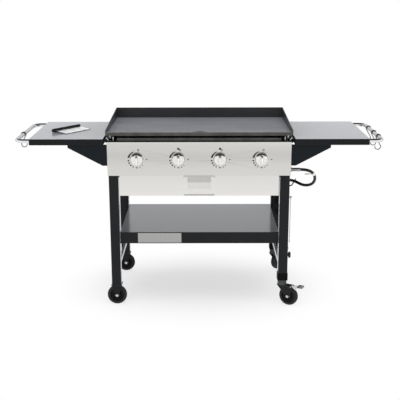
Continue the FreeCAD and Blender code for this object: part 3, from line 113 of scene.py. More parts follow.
class GriddleSizes(bpy.types.PropertyGroup):
    sheet_edge: length_of("Sheet edge", "Rounding along folded sheet", 0.0006)
    plate_edge: length_of("Plate edge", "Rounding along the cooking plate", 0.0009)
    leg_edge: length_of("Leg edge", "Rounding at cut tube ends", 0.0004)
    fold_width: length_of("Fold width", "Outer bend along the shelves' folds", 0.0028)
    mark_radius: length_of("Mark radius", "Radius of the ring of setting marks", 0.0405)
    mark_thick: length_of("Mark thickness", "Height of the printed marks", 0.00015)
    hose_diameter: length_of("Hose diameter", "Outer diameter of the gas hose", 0.0145)
    hose_length: length_of("Hose length", "Length from fitting to regulator", 0.525)
    grip_ribs: IntProperty(name="Grip ribs", description="Ribs round the scraper's grip",
                           default=9, min=0)
    turned_steps: IntProperty(name="Turned steps", description="Faces round a turned piece",
                              default=64, min=12)


class StageSettings(bpy.types.PropertyGroup):
    lens: FloatProperty(name="Lens", description="Focal length", default=72.0, min=1.0,
                        subtype="DISTANCE_CAMERA")
    place: FloatVectorProperty(name="Camera place", description="Where the camera stands",
                               default=(0.018, -4.050, 1.552), size=3, subtype="TRANSLATION")
    pitch: FloatProperty(name="Pitch", description="How far it looks down",
                         default=math.radians(14.92), subtype="ANGLE")
    yaw: FloatProperty(name="Yaw", description="How far it looks to the right",
                       default=math.radians(-0.22), subtype="ANGLE")
    roll: FloatProperty(name="Roll", description="How far it leans",
                        default=math.radians(-0.12), subtype="ANGLE")
    floor: colour_of("Floor", "Pale studio floor", (0.93, 0.93, 0.93))
    sky: FloatProperty(name="Sky", description="Strength of the even studio light",
                       default=0.92, min=0.0)


def colours():
    return bpy.context.scene.griddle_colours


def sizes():
    return bpy.context.scene.griddle_sizes


def joint(name):
    """The joint of that name."""
    return next(j for j in frame["joints"] if j["name"] == name)


def middle(node):
    """The centre of a node's box."""
    low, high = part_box(node)
    return (low + high) / 2


def solids_of(node):
    """The box of each separate solid in a node, as low and high corners."""
    bm = bmesh.new()
    bm.from_mesh(frame["nodes"][node].data)
    bmesh.ops.remove_doubles(bm, verts=bm.verts, dist=1e-6)
    waiting = set(bm.verts)
    boxes = []
    while waiting:
        group = {waiting.pop()}
        edge = list(group)
        while edge:
            vertex = edge.pop()
            for link in vertex.link_edges:
                other = link.other_vert(vertex)
                if other in waiting:
                    waiting.discard(other)
                    group.add(other)
                    edge.append(other)
        points = [v.co for v in group]
        low = Vector([min(p[k] for p in points) for k in range(3)])
        high = Vector([max(p[k] for p in points) for k in range(3)])
        boxes.append((low, high))
    bm.free()
    return sorted(boxes, key=lambda b: tuple(round(c, 5) for c in (*b[0], *b[1])))


# Finishes

def shader_of(material):
    return material.node_tree.nodes["Principled BSDF"]


def fill(target, values):
    """Sets a node's inputs from their names or places."""
    for key, value in values.items():
        target.inputs[key].default_value = value


def new_node(tree, kind, values=None, **settings):
    """A shader node with its settings and the values of its inputs."""
    made = tree.nodes.new("ShaderNode" + kind)
    for name, setting in settings.items():
        setattr(made, name, setting)
    fill(made, values or {})
    return made


def join(tree, *pairs):
    """Links each output to the input that goes with it."""
    for output, target in pairs:
        tree.links.new(output, target)


def plain_finish(name, colour, roughness, metallic=0.0, specular=0.5, coat=0.0,
                 coat_roughness=0.1, coat_ior=1.5):
    """A finish before its grain is added."""
    material = bpy.data.materials.new(name)
    material.use_nodes = True
    fill(shader_of(material), {
        "Base Color": (*colour, 1.0), "Roughness": roughness, "Metallic": metallic,
        "Specular IOR Level": specular, "Coat Weight": coat, "Coat Roughness": coat_roughness,
        "Coat IOR": coat_ior})
    return material


def grain(material, scale, stretch=(1.0, 1.0, 1.0), detail=4.0, cells=False):
    """A noise or a pattern of cells in the piece's own space; gives its value."""
    tree = material.node_tree
    place = new_node(tree, "TexCoord")
    spread = new_node(tree, "Mapping", {"Scale": stretch})
    if cells:
        texture = new_node(tree, "TexVoronoi", {"Scale": scale})
    else:
        texture = new_node(tree, "TexNoise", {"Scale": scale, "Detail": detail})
    join(tree, (place.outputs["Object"], spread.inputs["Vector"]),
         (spread.outputs["Vector"], texture.inputs["Vector"]))
    return texture.outputs["Distance" if cells else "Fac"]


def vary_roughness(material, value, low, high):
    """Roughness that follows a grain between two limits."""
    tree = material.node_tree
    ramp = new_node(tree, "MapRange",
                    {"From Min": 0.3, "From Max": 0.7, "To Min": low, "To Max": high})
    join(tree, (value, ramp.inputs["Value"]),
         (ramp.outputs["Result"], shader_of(material).inputs["Roughness"]))


def vary_colour(material, value, base, dark, light):
    """A base colour that follows a grain between a darker and a lighter shade."""
    ramp_colour(material, value, ((0.3, shade(base, dark)), (0.7, shade(base, light))))


def stretched_height(material, low, high):
    """How far up a piece a point is, from 0 at low to 1 at high, wandering with a soft noise."""
    tree = material.node_tree
    place = new_node(tree, "TexCoord")
    parts = new_node(tree, "SeparateXYZ")
    rise = new_node(tree, "MapRange", {"From Min": low, "From Max": high})
    wander = grain(material, 1.0, (3.0, 3.0, 9.0), 2.0)
    lean = new_node(tree, "Math", {1: 0.35}, operation="MULTIPLY_ADD")
    shift = new_node(tree, "Math", {1: 0.175}, operation="SUBTRACT")
    join(tree, (place.outputs["Object"], parts.inputs["Vector"]),
         (parts.outputs["Z"], rise.inputs["Value"]), (wander, lean.inputs[0]),
         (rise.outputs["Result"], lean.inputs[2]), (lean.outputs[0], shift.inputs[0]))
    return shift.outputs[0]


def ramp_colour(material, value, stops, interpolation="LINEAR"):
    """A base colour that goes through (position, colour) stops as a value rises."""
    tree = material.node_tree
    ramp = new_node(tree, "ValToRGB")
    ramp.color_ramp.interpolation = interpolation
    elements = ramp.color_ramp.elements
    while len(elements) < len(stops):
        elements.new(0.5)
    for element, (position, colour) in zip(elements, stops):
        element.position = position
        element.color = (*colour, 1.0)
    join(tree, (value, ramp.inputs["Fac"]),
         (ramp.outputs["Color"], shader_of(material).inputs["Base Color"]))


def raise_grain(material, value, strength, height):
    """Fine relief from a grain."""
    tree = material.node_tree
    bump = new_node(tree, "Bump", {"Strength": strength, "Distance": height})
    join(tree, (value, bump.inputs["Height"]),
         (bump.outputs["Normal"], shader_of(material).inputs["Normal"]))


def shade(colour, factor):
    """The same colour, lighter or darker."""
    return tuple(min(c * factor, 1.0) for c in colour)


def make_plate_finish(name, base, stretch, tones, roughness, specular, coat=0.0):
    """Rolled steel, satin or worn, with soft patches and smears and a fine mill grain."""
    material = plain_finish(name, base, roughness[0], specular=specular, coat=coat,
                            coat_roughness=0.28)
    vary_colour(material, grain(material, 5.0, stretch, 6.0), base, *tones)
    vary_roughness(material, grain(material, 16.0, (0.5, 1.5, 1.0), 5.0), *roughness)
    raise_grain(material, grain(material, 420.0, (1.0, 0.12, 1.0), 2.0), 0.10, 0.0001)
    return material


def make_smoked_finish(name, base, specular=0.2):
    """Sheet darkened by heat or phosphate, with cloudy patches."""
    material = plain_finish(name, base, 0.5, specular=specular)
    clouds = grain(material, 22.0, detail=5.0)
    vary_colour(material, clouds, base, 0.75, 1.3)
    vary_roughness(material, clouds, 0.42, 0.60)
    raise_grain(material, grain(material, 500.0, detail=3.0), 0.15, 0.0001)
    return material


def make_paint_finish(name, base, sheen=0.9):
    """Black powder coat, dark when faced and bright at a low angle, with orange peel."""
    material = plain_finish(name, base, 0.26, specular=0.08, coat=1.0, coat_roughness=0.10,
                            coat_ior=1.2)
    fill(shader_of(material), {"Sheen Weight": sheen, "Sheen Roughness": 0.3,
                               "Sheen Tint": (0.88, 0.92, 1.0, 1.0)})
    vary_colour(material, grain(material, 7.0, detail=3.0), base, 0.85, 1.2)
    vary_roughness(material, grain(material, 60.0, detail=6.0), 0.25, 0.27)
    raise_grain(material, grain(material, 700.0, detail=2.0), 0.03, 0.0001)
    return material


def make_stainless_finish(name, low, high, painted_reflection_bands):
    """Stainless sheet brushed along its length, with painted reflection: broad bands of lighter and darker tone
    over its height.
    """
    base = colours().stainless
    material = plain_finish(name, base, 0.34, metallic=1.0)
    strokes = grain(material, 1.0, (5.0, 900.0, 900.0), 5.0)
    vary_roughness(material, strokes, 0.28, 0.42)
    # Painted reflection: the base colour goes lighter and darker with height.
    stops = [(share, shade(base, factor)) for share, factor in painted_reflection_bands]
    ramp_colour(material, stretched_height(material, low, high), stops, "EASE")
    raise_grain(material, strokes, 0.10, 0.00006)
    return material


def dull_edge(material, tint):
    """A metal whose gloss is duller where it is met at a low angle."""
    shader_of(material).inputs["Specular Tint"].default_value = (tint, tint, tint, 1.0)


def make_crimped_finish():
    """Plated steel of the hose's crimped end."""
    material = make_zinc_finish("crimped_steel", shade(colours().galvanised, 0.9), 0.35)
    dull_edge(material, 0.12)
    return material


def make_chrome_finish(name, base, edge_tint):
    """Bright chrome with the faintest haze."""
    material = plain_finish(name, base, 0.06, metallic=1.0)
    dull_edge(material, edge_tint)
    vary_roughness(material, grain(material, 90.0, detail=5.0), 0.035, 0.085)
    raise_grain(material, grain(material, 120.0, detail=1.0), 0.03, 0.0001)
    return material


def make_cast_chrome_finish():
    """Chrome over a cast knob, whose face ripples a little."""
    base = shade(colours().stainless, 1.2)
    material = plain_finish("cast_chrome", base, 0.12, metallic=1.0)
    haze = grain(material, 140.0, detail=5.0)
    vary_roughness(material, haze, 0.08, 0.18)
    vary_colour(material, haze, base, 0.82, 1.12)
    dull_edge(material, 0.50)
    raise_grain(material, grain(material, 105.0, detail=2.0), 0.60, 0.0022)
    return material


def make_zinc_finish(name, base, roughness):
    """Zinc with small crystals."""
    material = plain_finish(name, base, roughness, metallic=1.0)
    crystals = grain(material, 160.0, cells=True)
    vary_colour(material, crystals, base, 0.85, 1.1)
    vary_roughness(material, grain(material, 40.0), roughness - 0.08, roughness + 0.08)
    raise_grain(material, crystals, 0.05, 0.0001)
    return material


def make_moulded_finish(name, base, roughness, texture_scale=900.0, specular=0.4):
    """Moulded plastic or rubber with a fine spark texture."""
    material = plain_finish(name, base, roughness, specular=specular)
    vary_colour(material, grain(material, 30.0, detail=3.0), base, 0.85, 1.2)
    sparks = grain(material, texture_scale, detail=3.0)
    vary_roughness(material, sparks, roughness - 0.06, roughness + 0.08)
    raise_grain(material, sparks, 0.18, 0.0001)
    return material


def make_foil_finish(name, base):
    """Silvered foil with a satin print coat, left blank."""
    material = plain_finish(name, base, 0.42, metallic=0.55, specular=0.3, coat=0.2)
    roll = grain(material, 1.0, (220.0, 6.0, 6.0), 3.0)
    vary_roughness(material, roll, 0.38, 0.48)
    vary_colour(material, roll, base, 0.96, 1.04)
    return material


def make_print_finish():
    """Screen print, matt and a little uneven."""
    base = colours().print
    material = plain_finish("screen_print", base, 0.6, specular=0.3)
    ink = grain(material, 800.0, detail=3.0)
    vary_colour(material, ink, base, 0.7, 1.4)
    vary_roughness(material, ink, 0.55, 0.7)
    return material


def make_finishes():
    """Every finish of the station, by name."""
    c = colours()
    return {
        "griddle_steel": make_plate_finish("seasoned_steel", c.plate, (1.0, 1.6, 1.0), (0.8, 1.3),
                                           (0.34, 0.48), 0.3, 0.35),
        "cooking_face": make_plate_finish("worn_cooking_face", c.cooking_face, (0.5, 1.6, 1.0),
                                          (0.86, 1.10), (0.50, 0.62), 0.4),
        "black_paint": make_paint_finish("black_powder_coat", c.paint),
        # A lighter copy of the black coat: painted light.
        "leg_paint_lit": make_paint_finish("powder_coat_painted_lighter", c.leg_paint_lit, 1.0),
        "lip_face": make_smoked_finish("oiled_lip_face", c.lip),
        "gusset_paint_shaded": make_paint_finish("powder_coat_painted_shade", c.gusset),
        # A lighter band for the lip's top: wear, with a painted highlight along its edge.
        "lip_wear_and_highlight": make_paint_finish("lip_wear_and_painted_highlight", shade(c.cooking_face, 1.5)),
        "smoked": make_smoked_finish("smoked_sheet", c.smoked),
        # Near-black sheet: the firebox's soot, the black boots and hose hook, and painted shade in gaps, recesses
        # and on a shaded edge.
        "black_and_shade": make_smoked_finish("near_black_sheet_and_painted_shade", shade(c.smoked, 0.05), 0.06),
        "caster_head": make_smoked_finish("phosphated_steel", c.caster_head),
        # Upper panel: painted reflection, darker over the upper middle of its height.
        "stainless": make_stainless_finish("brushed_stainless", 0.671, 0.836,
                                           ((0.0, 1.0), (0.2, 0.98), (0.6, 0.865), (0.85, 0.93),
                                            (1.0, 1.0))),
        # A lighter copy of the same stainless: painted reflection, fading with height, for the lower panel and
        # grease tray.
        "lower_stainless_painted_bright": make_stainless_finish("stainless_painted_brighter", 0.571, 0.671,
                                                 ((0.0, 1.16), (0.4, 1.12), (1.0, 1.07))),
        "chrome": make_chrome_finish("chrome_plate", c.chrome, 0.60),
        "dark_chrome": make_chrome_finish("black_chrome", shade(c.chrome, 0.10), 0.20),
        "cast_chrome": make_cast_chrome_finish(),
        "zinc": make_zinc_finish("bright_zinc", c.zinc, 0.26),
        "steel_bar": make_zinc_finish("turned_steel", shade(c.zinc, 0.8), 0.30),
        "brass": make_zinc_finish("cast_brass", c.brass, 0.34),
        "ceramic": make_moulded_finish("glazed_ceramic", c.ceramic, 0.18, 500.0),
        "blade_steel": make_zinc_finish("polished_blade", c.blade, 0.24),
        "black_plastic": make_moulded_finish("black_plastic", c.plastic, 0.46),
        "pedal_plastic": make_moulded_finish("grey_pedal_plastic", c.pedal, 0.5),
        "caster_rubber": make_moulded_finish("tyre_rubber", c.rubber, 0.55, 600.0, 0.25),
        "hose_rubber": make_moulded_finish("hose_cover", c.hose, 0.40, 1200.0),
        "crimped_steel": make_crimped_finish(),
        "regulator_zinc": make_zinc_finish("cast_grey_zinc", shade(c.galvanised, 0.7), 0.45),
        "foil": make_foil_finish("silver_foil", c.foil),
        "grey_label": make_foil_finish("grey_label", c.grey_label),
        "pale_label": make_foil_finish("pale_label", c.pale_label),
        "print": make_print_finish(),
    }


FINISHES = {}


def finish(name):
    """The finish of that name; all are made on first use."""
    if not FINISHES:
        FINISHES.update(make_finishes())
    return FINISHES[name]


# Mesh tools

def ring(place, radius, height, steps):
    """Points round an axis at one height."""
    turns = [2 * math.pi * k / steps for k in range(steps)]
    return [place @ Vector((radius * math.cos(a), radius * math.sin(a), height)) for a in turns]


def skin(bm, rings, material=0, closed=False, capped=True):
    """Faces between rings of points; a ring of one point is a pole."""
    rows = [[bm.verts.new(p) for p in points] for points in rings]
    pairs = list(zip(rows, rows[1:]))
    if closed:
        pairs.append((rows[-1], rows[0]))
    for low, high in pairs:
        count = max(len(low), len(high))
        for k in range(count):
            after = (k + 1) % count
            if len(low) == 1:
                corners = (low[0], high[k], high[after])
            elif len(high) == 1:
                corners = (low[k], low[after], high[0])
            else:
                corners = (low[k], low[after], high[after], high[k])
            bm.faces.new(corners).material_index = material
    if capped and not closed:
        for row in (rows[0], rows[-1]):
            if len(row) > 2:
                bm.faces.new(row).material_index = material


def along(axis, centre):
    """A placement whose Z runs along an axis from a centre."""
    turn = Vector((0.0, 0.0, 1.0)).rotation_difference(Vector(axis).normalized())
    return Matrix.Translation(Vector(centre)) @ turn.to_matrix().to_4x4()


def facing_front(x, y, z):
    """A placement whose Z points out of the station's front."""
    return Matrix.Translation((x, y, z)) @ Matrix.Rotation(math.radians(90), 4, "X")


def mm(*pairs):
    """Pairs in millimetres, as pairs in metres."""
    return [(a * MM, b * MM) for a, b in pairs]


def from_rim(radius, *pairs):
    """(radius, height) pairs in millimetres, the radii counted from a rim."""
    return [(radius + a * MM, b * MM) for a, b in pairs]


def lathe(bm, profile, place, material=0, closed=False, steps=None):
    """A turned form from (radius, height) pairs."""
    steps = steps or sizes().turned_steps
    rings = []
    for radius, height in profile:
        if radius < 1e-7:
            rings.append([place @ Vector((0.0, 0.0, height))])
        else:
            rings.append(ring(place, radius, height, steps))
    skin(bm, rings, material, closed)


def rounded(half_width, half_height, radius, steps=6):
    """Outline of a rectangle with round corners, as (x, y) pairs."""
    radius = min(radius, half_width, half_height)
    corners = ((1, 1, 0), (-1, 1, 90), (-1, -1, 180), (1, -1, 270))
    points = []
    for sx, sy, first in corners:
        for k in range(steps + 1):
            a = math.radians(first + 90 * k / steps)
            points.append((sx * (half_width - radius) + radius * math.cos(a),
                           sy * (half_height - radius) + radius * math.sin(a)))
    return points


def lobed_rings(place, radius, corners, levels, dip):
    """Rings at (share, height) levels, whose radius dips between lobes."""
    rings = []
    for share, height in levels:
        points = []
        for k in range(corners):
            a = 2 * math.pi * k / corners
            r = radius * (share - dip(a, share))
            points.append(place @ Vector((r * math.cos(a), r * math.sin(a), height)))
        rings.append(points)
    return rings


def slab(bm, half_width, half_height, radius, thick, edge, place, material=0):
    """A flat plate with round corners and softened edges, thick along Z."""
    rings = []
    for inset, height in ((edge, 0.0), (0.0, edge), (0.0, thick - edge), (edge, thick)):
        outline = rounded(half_width - inset, half_height - inset, max(radius - inset, 1e-5))
        rings.append([place @ Vector((x, y, height)) for x, y in outline])
    skin(bm, rings, material)


def tube(bm, points, radius):
    """A round tube along points."""
    steps = 24
    turns = [2 * math.pi * n / steps for n in range(steps)]
    side = None
    rings = []
    for k, point in enumerate(points):
        ahead = points[min(k + 1, len(points) - 1)] - points[max(k - 1, 0)]
        ahead.normalize()
        if side is None:
            guide = Vector((0, 0, 1)) if abs(ahead.z) < 0.9 else Vector((1, 0, 0))
            side = guide.cross(ahead).normalized()
        side = (side - ahead * side.dot(ahead)).normalized()
        up = ahead.cross(side)
        rings.append([point + (side * math.cos(a) + up * math.sin(a)) * radius for a in turns])
    skin(bm, rings)


def hexagon(bm, radius, low, high, place, material=0):
    """A hexagon head or nut with its corners taken off."""
    chamfer = radius * 0.12
    rings = [ring(place, r, height, 6) for r, height in
             ((radius - chamfer, low), (radius, low + chamfer * 0.6),
              (radius, high - chamfer * 0.6), (radius - chamfer, high))]
    skin(bm, rings, material)


def piece(name, bm, materials, body, stands_for=()):
    """A finished mesh as an object that rides on a body."""
    bmesh.ops.recalc_face_normals(bm, faces=bm.faces)
    mesh = bpy.data.meshes.new(name)
    bm.to_mesh(mesh)
    bm.free()
    for material in materials:
        mesh.materials.append(finish(material))
    mesh.shade_smooth()
    mesh.set_sharp_from_angle(angle=SHARP)
    made = bpy.data.objects.new(name, mesh)
    bpy.context.scene.collection.objects.link(made)
    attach(made, body)
    if stands_for:
        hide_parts(*stands_for)
    return made


def body_of(node):
    """The body that a node belongs to."""
    bodies = frame["record"]["behaviour"]["bodies"]
    return next(body for body, nodes in bodies.items() if node in nodes)


def dress(node, slot, edge=0.0, segments=2, fold=0.0, on_fold=None):
    """A carried-over node gets its finish, rounded edges and, on its folds, a wider bend."""
    made = frame["nodes"][node]
    mesh = made.data
    if mesh.has_custom_normals:
        mesh.attributes.remove(mesh.attributes["custom_normal"])
    mesh.materials.clear()
    mesh.materials.append(finish(slot))
    mesh.shade_smooth()
    weld = made.modifiers.new("weld", "WELD")
    weld.merge_threshold = 1e-6
    if fold:
        weights = mesh.attributes.new("bevel_weight_edge", "FLOAT", "EDGE")
        for line in mesh.edges:
            ends = [mesh.vertices[k].co for k in line.vertices]
            if on_fold(*ends):
                weights.data[line.index].value = 1.0
        bend = made.modifiers.new("bends", "BEVEL")
        bend.width = fold
        bend.segments = 4
        bend.limit_method = "WEIGHT"
    if edge:
        bevel = made.modifiers.new("edges", "BEVEL")
        bevel.width = edge
        bevel.segments = segments
        bevel.limit_method = "ANGLE"
        bevel.angle_limit = SHARP
        normals = made.modifiers.new("normals", "WEIGHTED_NORMAL")
        normals.weight = 60
    else:
        split = made.modifiers.new("split", "EDGE_SPLIT")
        split.split_angle = SHARP
    return made


def both_near(needed, choices):
    """A test for edges with both ends in every needed plane and in one of the others."""
    def on_plane(point, plane):
        return abs(point[plane[0]] - plane[1]) < 0.1 * MM

    def inside(first, second):
        return (all(on_plane(p, plane) for p in (first, second) for plane in needed)
                and any(on_plane(first, plane) and on_plane(second, plane) for plane in choices))

    return inside


def paint_where(node, slot, inside):
    """A second finish on the faces of a node whose centre and direction pass a test."""
    mesh = frame["nodes"][node].data
    mesh.materials.append(finish(slot))
    index = len(mesh.materials) - 1
    for face in mesh.polygons:
        if inside(face.center, face.normal):
            face.material_index = index


# Stage

def make_floor():
    """A pale floor that keeps the soft shadow and fades to white away from the station."""
    bm = bmesh.new()
    bmesh.ops.create_grid(bm, x_segments=1, y_segments=1, size=30.0)
    mesh = bpy.data.meshes.new("floor")
    bm.to_mesh(mesh)
    bm.free()
    floor = bpy.data.objects.new("floor", mesh)
    bpy.context.scene.collection.objects.link(floor)
    pale = bpy.context.scene.stage_settings.floor
    material = plain_finish("studio_floor", pale, 0.9, specular=0.0)
    tree = material.node_tree
    glow = new_node(tree, "Emission", {"Strength": 1.0})
    path = new_node(tree, "LightPath").outputs
    mirrored = new_node(tree, "Math", operation="MAXIMUM")
    seen = new_node(tree, "Math", operation="MAXIMUM")
    place = new_node(tree, "TexCoord")
    oval = new_node(tree, "Mapping", {"Location": (0.0, 0.02, 0.0), "Scale": (0.80, 0.95, 1.0)})
    distance = new_node(tree, "VectorMath", operation="LENGTH")
    fade = new_node(tree, "MapRange", {"From Min": 0.20, "From Max": 0.66, "To Min": 0.50,
                                       "To Max": 1.0}, interpolation_type="SMOOTHSTEP")
    share = new_node(tree, "Math", operation="MULTIPLY")
    mix = new_node(tree, "MixShader")
    join(tree, (path["Is Camera Ray"], seen.inputs[0]), (path["Is Glossy Ray"], mirrored.inputs[0]),
         (path["Is Transmission Ray"], mirrored.inputs[1]), (mirrored.outputs[0], seen.inputs[1]),
         (place.outputs["Object"], oval.inputs["Vector"]),
         (oval.outputs["Vector"], distance.inputs[0]),
         (distance.outputs["Value"], fade.inputs["Value"]),
         (fade.outputs["Result"], share.inputs[0]), (seen.outputs[0], share.inputs[1]),
         (share.outputs[0], mix.inputs["Fac"]), (shader_of(material).outputs["BSDF"], mix.inputs[1]),
         (glow.outputs["Emission"], mix.inputs[2]),
         (mix.outputs["Shader"], tree.nodes["Material Output"].inputs["Surface"]))
    mesh.materials.append(material)


def make_world():
    """Even studio light, white to the eye, that darkens overhead in polished metal."""
    world = bpy.data.worlds.new("studio")
    world.use_nodes = True
    tree = world.node_tree
    white = (1.0, 1.0, 1.0, 1.0)
    lit = tree.nodes["Background"]
    fill(lit, {"Color": white, "Strength": bpy.context.scene.stage_settings.sky})
    plain = new_node(tree, "Background", {"Color": white, "Strength": 1.0})
    mirror = new_node(tree, "Background", {"Color": white})
    way = new_node(tree, "TexCoord")
    parts = new_node(tree, "SeparateXYZ")
    height = new_node(tree, "MapRange", {"From Min": 0.36, "From Max": 0.56, "To Min": 1.0,
                                         "To Max": 0.05}, interpolation_type="SMOOTHSTEP")
    path = new_node(tree, "LightPath").outputs
    glossy = new_node(tree, "Math", operation="MAXIMUM")
    first = new_node(tree, "MixShader")
    second = new_node(tree, "MixShader")
    join(tree, (way.outputs["Generated"], parts.inputs["Vector"]),
         (parts.outputs["Z"], height.inputs["Value"]),
         (height.outputs["Result"], mirror.inputs["Strength"]),
         (path["Is Glossy Ray"], glossy.inputs[0]), (path["Is Transmission Ray"], glossy.inputs[1]),
         (glossy.outputs[0], first.inputs["Fac"]), (lit.outputs["Background"], first.inputs[1]),
         (mirror.outputs["Background"], first.inputs[2]),
         (path["Is Camera Ray"], second.inputs["Fac"]), (first.outputs["Shader"], second.inputs[1]),
         (plain.outputs["Background"], second.inputs[2]),
         (second.outputs["Shader"], tree.nodes["World Output"].inputs["Surface"]))
    bpy.context.scene.world = world


def make_lamp(name, place, aim, size, watts):
    """A soft square lamp that points at a place."""
    data = bpy.data.lights.new(name, "AREA")
    data.size = size
    data.energy = watts
    lamp = bpy.data.objects.new(name, data)
    lamp.location = place
    lamp.rotation_euler = (Vector(aim) - Vector(place)).to_track_quat("-Z", "Y").to_euler()
    lamp.visible_glossy = False
    bpy.context.scene.collection.objects.link(lamp)


def make_camera():
    """The camera at the photograph's viewing angle."""
    settings = bpy.context.scene.stage_settings
    pitch, yaw, roll = settings.pitch, settings.yaw, settings.roll
    ahead = Vector((math.sin(yaw) * math.cos(pitch), math.cos(yaw) * math.cos(pitch),
                    -math.sin(pitch)))
    right = Vector((math.cos(yaw), -math.sin(yaw), 0.0))
    up = right.cross(ahead)
    leaning_right = right * math.cos(roll) + up * math.sin(roll)
    leaning_up = up * math.cos(roll) - right * math.sin(roll)
    data = bpy.data.cameras.new("camera")
    data.lens = settings.lens
    data.sensor_width = 36.0
    data.sensor_fit = "HORIZONTAL"
    camera = bpy.data.objects.new("camera", data)
    turn = Matrix((leaning_right, leaning_up, -ahead)).transposed().to_4x4()
    camera.matrix_world = Matrix.Translation(settings.place) @ turn
    bpy.context.scene.collection.objects.link(camera)
    bpy.context.scene.camera = camera


class GRIDDLE_OT_stage(bpy.types.Operator):
    """Set out the pale floor, the even light and the camera"""
    bl_idname = "griddle.stage"
    bl_label = "Stage and camera"

    def execute(self, context):
        context.scene.view_settings.view_transform = "Standard"
        make_floor()
        make_world()
        make_lamp("overhead_softbox", (0.3, -0.6, 3.2), (0.0, 0.0, 0.5), 2.6, 34.0)
        make_lamp("front_softbox", (-1.6, -3.4, 2.2), (0.0, 0.0, 0.6), 1.8, 16.0)
        make_camera()
        return {"FINISHED"}


# Gas hose and what is on it

def hose_line():
    """Points along the hose's middle line, read from its own spline."""
    bare = make_hose_curve("hose_line", 0.0)
    holder = bpy.data.objects.new("hose_line", bare)
    mesh = bpy.data.meshes.new_from_object(holder)
    points = [v.co.copy() for v in mesh.vertices]
    bpy.data.meshes.remove(mesh)
    bpy.data.objects.remove(holder)
    bpy.data.curves.remove(bare)
    return points


def make_hose_curve(name, radius):
    """The hose as one smooth spline, pulled along by the points of its route."""
    curve = bpy.data.curves.new(name, "CURVE")
    curve.dimensions = "3D"
    curve.resolution_u = 16
    curve.bevel_depth = radius
    curve.bevel_resolution = 8
    curve.use_fill_caps = True
    spline = curve.splines.new("NURBS")
    spline.points.add(len(HOSE_ROUTE) - 1)
    for point, place in zip(spline.points, HOSE_ROUTE):
        point.co = (*place, 1.0)
    spline.order_u = 3
    spline.use_endpoint_u = True
    return curve


def stretch_of(points, start, length):
    """The part of a line of points between two distances along it."""
    found = []
    walked = 0.0
    for a, b in zip(points, points[1:]):
        step = (b - a).length
        for mark in (start, start + length):
            if walked <= mark < walked + step:
                found.append(a.lerp(b, (mark - walked) / step))
        walked += step
        if start < walked < start + length:
            found.append(b.copy())
    return found


def make_hose_tag(bm, anchor, radius):
    """A narrow paper tag that stands out from the hose's band, white at its root."""
    for start, end, index in ((radius, 20 * MM, 0), (20 * MM, 44 * MM, 1)):
        place = facing_front(anchor.x - (start + end) / 2, anchor.y, anchor.z)
        slab(bm, (end - start) / 2, 3.2 * MM, 1.0 * MM, 0.4 * MM, 0.1 * MM, place, index)


def make_hose_fitting():
    """Hexagon nut and crimped sleeve between the manifold and the hose."""
    low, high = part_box("hose_fitting")
    centre = (low + high) / 2
    place = along((1, 0, 0), (low.x, centre.y, centre.z))
    long = high.x - low.x
    nut = 16 * MM
    bm = bmesh.new()
    hexagon(bm, 11 * MM, 0.0, nut, place)
    profile = [(0.0, nut), (7.5 * MM, nut), (7.5 * MM, nut + 2 * MM)]
    ribs = 5
    first = nut + 3 * MM
    pitch = (long - first - 2 * MM) / ribs
    for k in range(ribs):
        at = first + pitch * k
        profile += [(8.2 * MM, at), (9.0 * MM, at + pitch * 0.2), (9.0 * MM, at + pitch * 0.6),
                    (8.2 * MM, at + pitch * 0.8)]
    profile += [(8.6 * MM, long - 1.5 * MM), (7.6 * MM, long), (0.0, long)]
    lathe(bm, profile, place, 0, steps=40)
    return piece("hose_fitting_ribbed", bm, ("crimped_steel",), "station",
                 ("hose_fitting",))


def make_regulator():
    """Round regulator with a vent cap, its stalk and a fluted coupling nut."""
    low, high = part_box("regulator")
    end = HOSE_ROUTE[-1]
    x, y = end[0], end[1]
    radius = 36 * MM
    disc_z = high.z - 14 * MM - radius
    thick = 24 * MM
    bm = bmesh.new()
    face = along((1, 0, 0), (x - thick / 2, y, disc_z))
    lathe(bm, mm((0, 0), (29, 0), (31, 1.5), (31.5, 8), (35, 8.6), (36, 9.6), (36, 14.4),
                 (35, 15.4), (31.5, 16), (30, 22), (27, 24), (0, 24)), face)
    cap = along((-1, 0, 0), (x - thick / 2, y, disc_z))
    lathe(bm, mm((0, -1), (16, -1), (16, 5), (14.5, 7.4), (6, 8), (5.4, 6.6), (0, 6.6)), cap, 1)
    for k in range(6):
        a = math.radians(60 * k + 30)
        at = Vector((x - thick / 2 + 8 * MM, y + 33.4 * MM * math.cos(a),
                     disc_z + 33.4 * MM * math.sin(a)))
        lathe(bm, mm((0, 0), (2.1, 0), (2.1, 1.6), (1.5, 2.2), (0, 2.2)),
              along((-1, 0, 0), at), 2, steps=16)
    stalk = along((0, 0, 1), (x, y, disc_z))
    lathe(bm, mm((0, 30), (9, 30), (9, 40), (7.8, 41), (7.8, 43), (9, 44), (9, 48.5), (8, 50),
                 (0, 50)), stalk, 2, steps=40)
    spout = along((0, 0, -1), (x, y, disc_z))
    lathe(bm, mm((0, 30), (9, 30), (9, 49), (0, 49)), spout, 2, steps=40)
    top = radius + 12 * MM
    bottom = disc_z - low.z
    flutes = 14
    levels = ((0.86, top), (1.0, top + 2 * MM), (1.0, bottom - 6 * MM), (0.84, bottom - 5 * MM),
              (0.80, bottom))

    def flute(a, share):
        return 0.055 * max(0.0, math.cos(flutes * a)) if share == 1.0 else 0.0

    skin(bm, lobed_rings(spout, 19 * MM, flutes * 6, levels, flute), 1)
    return piece("regulator_body", bm, ("regulator_zinc", "black_plastic", "zinc"),
                 "station", ("regulator",))


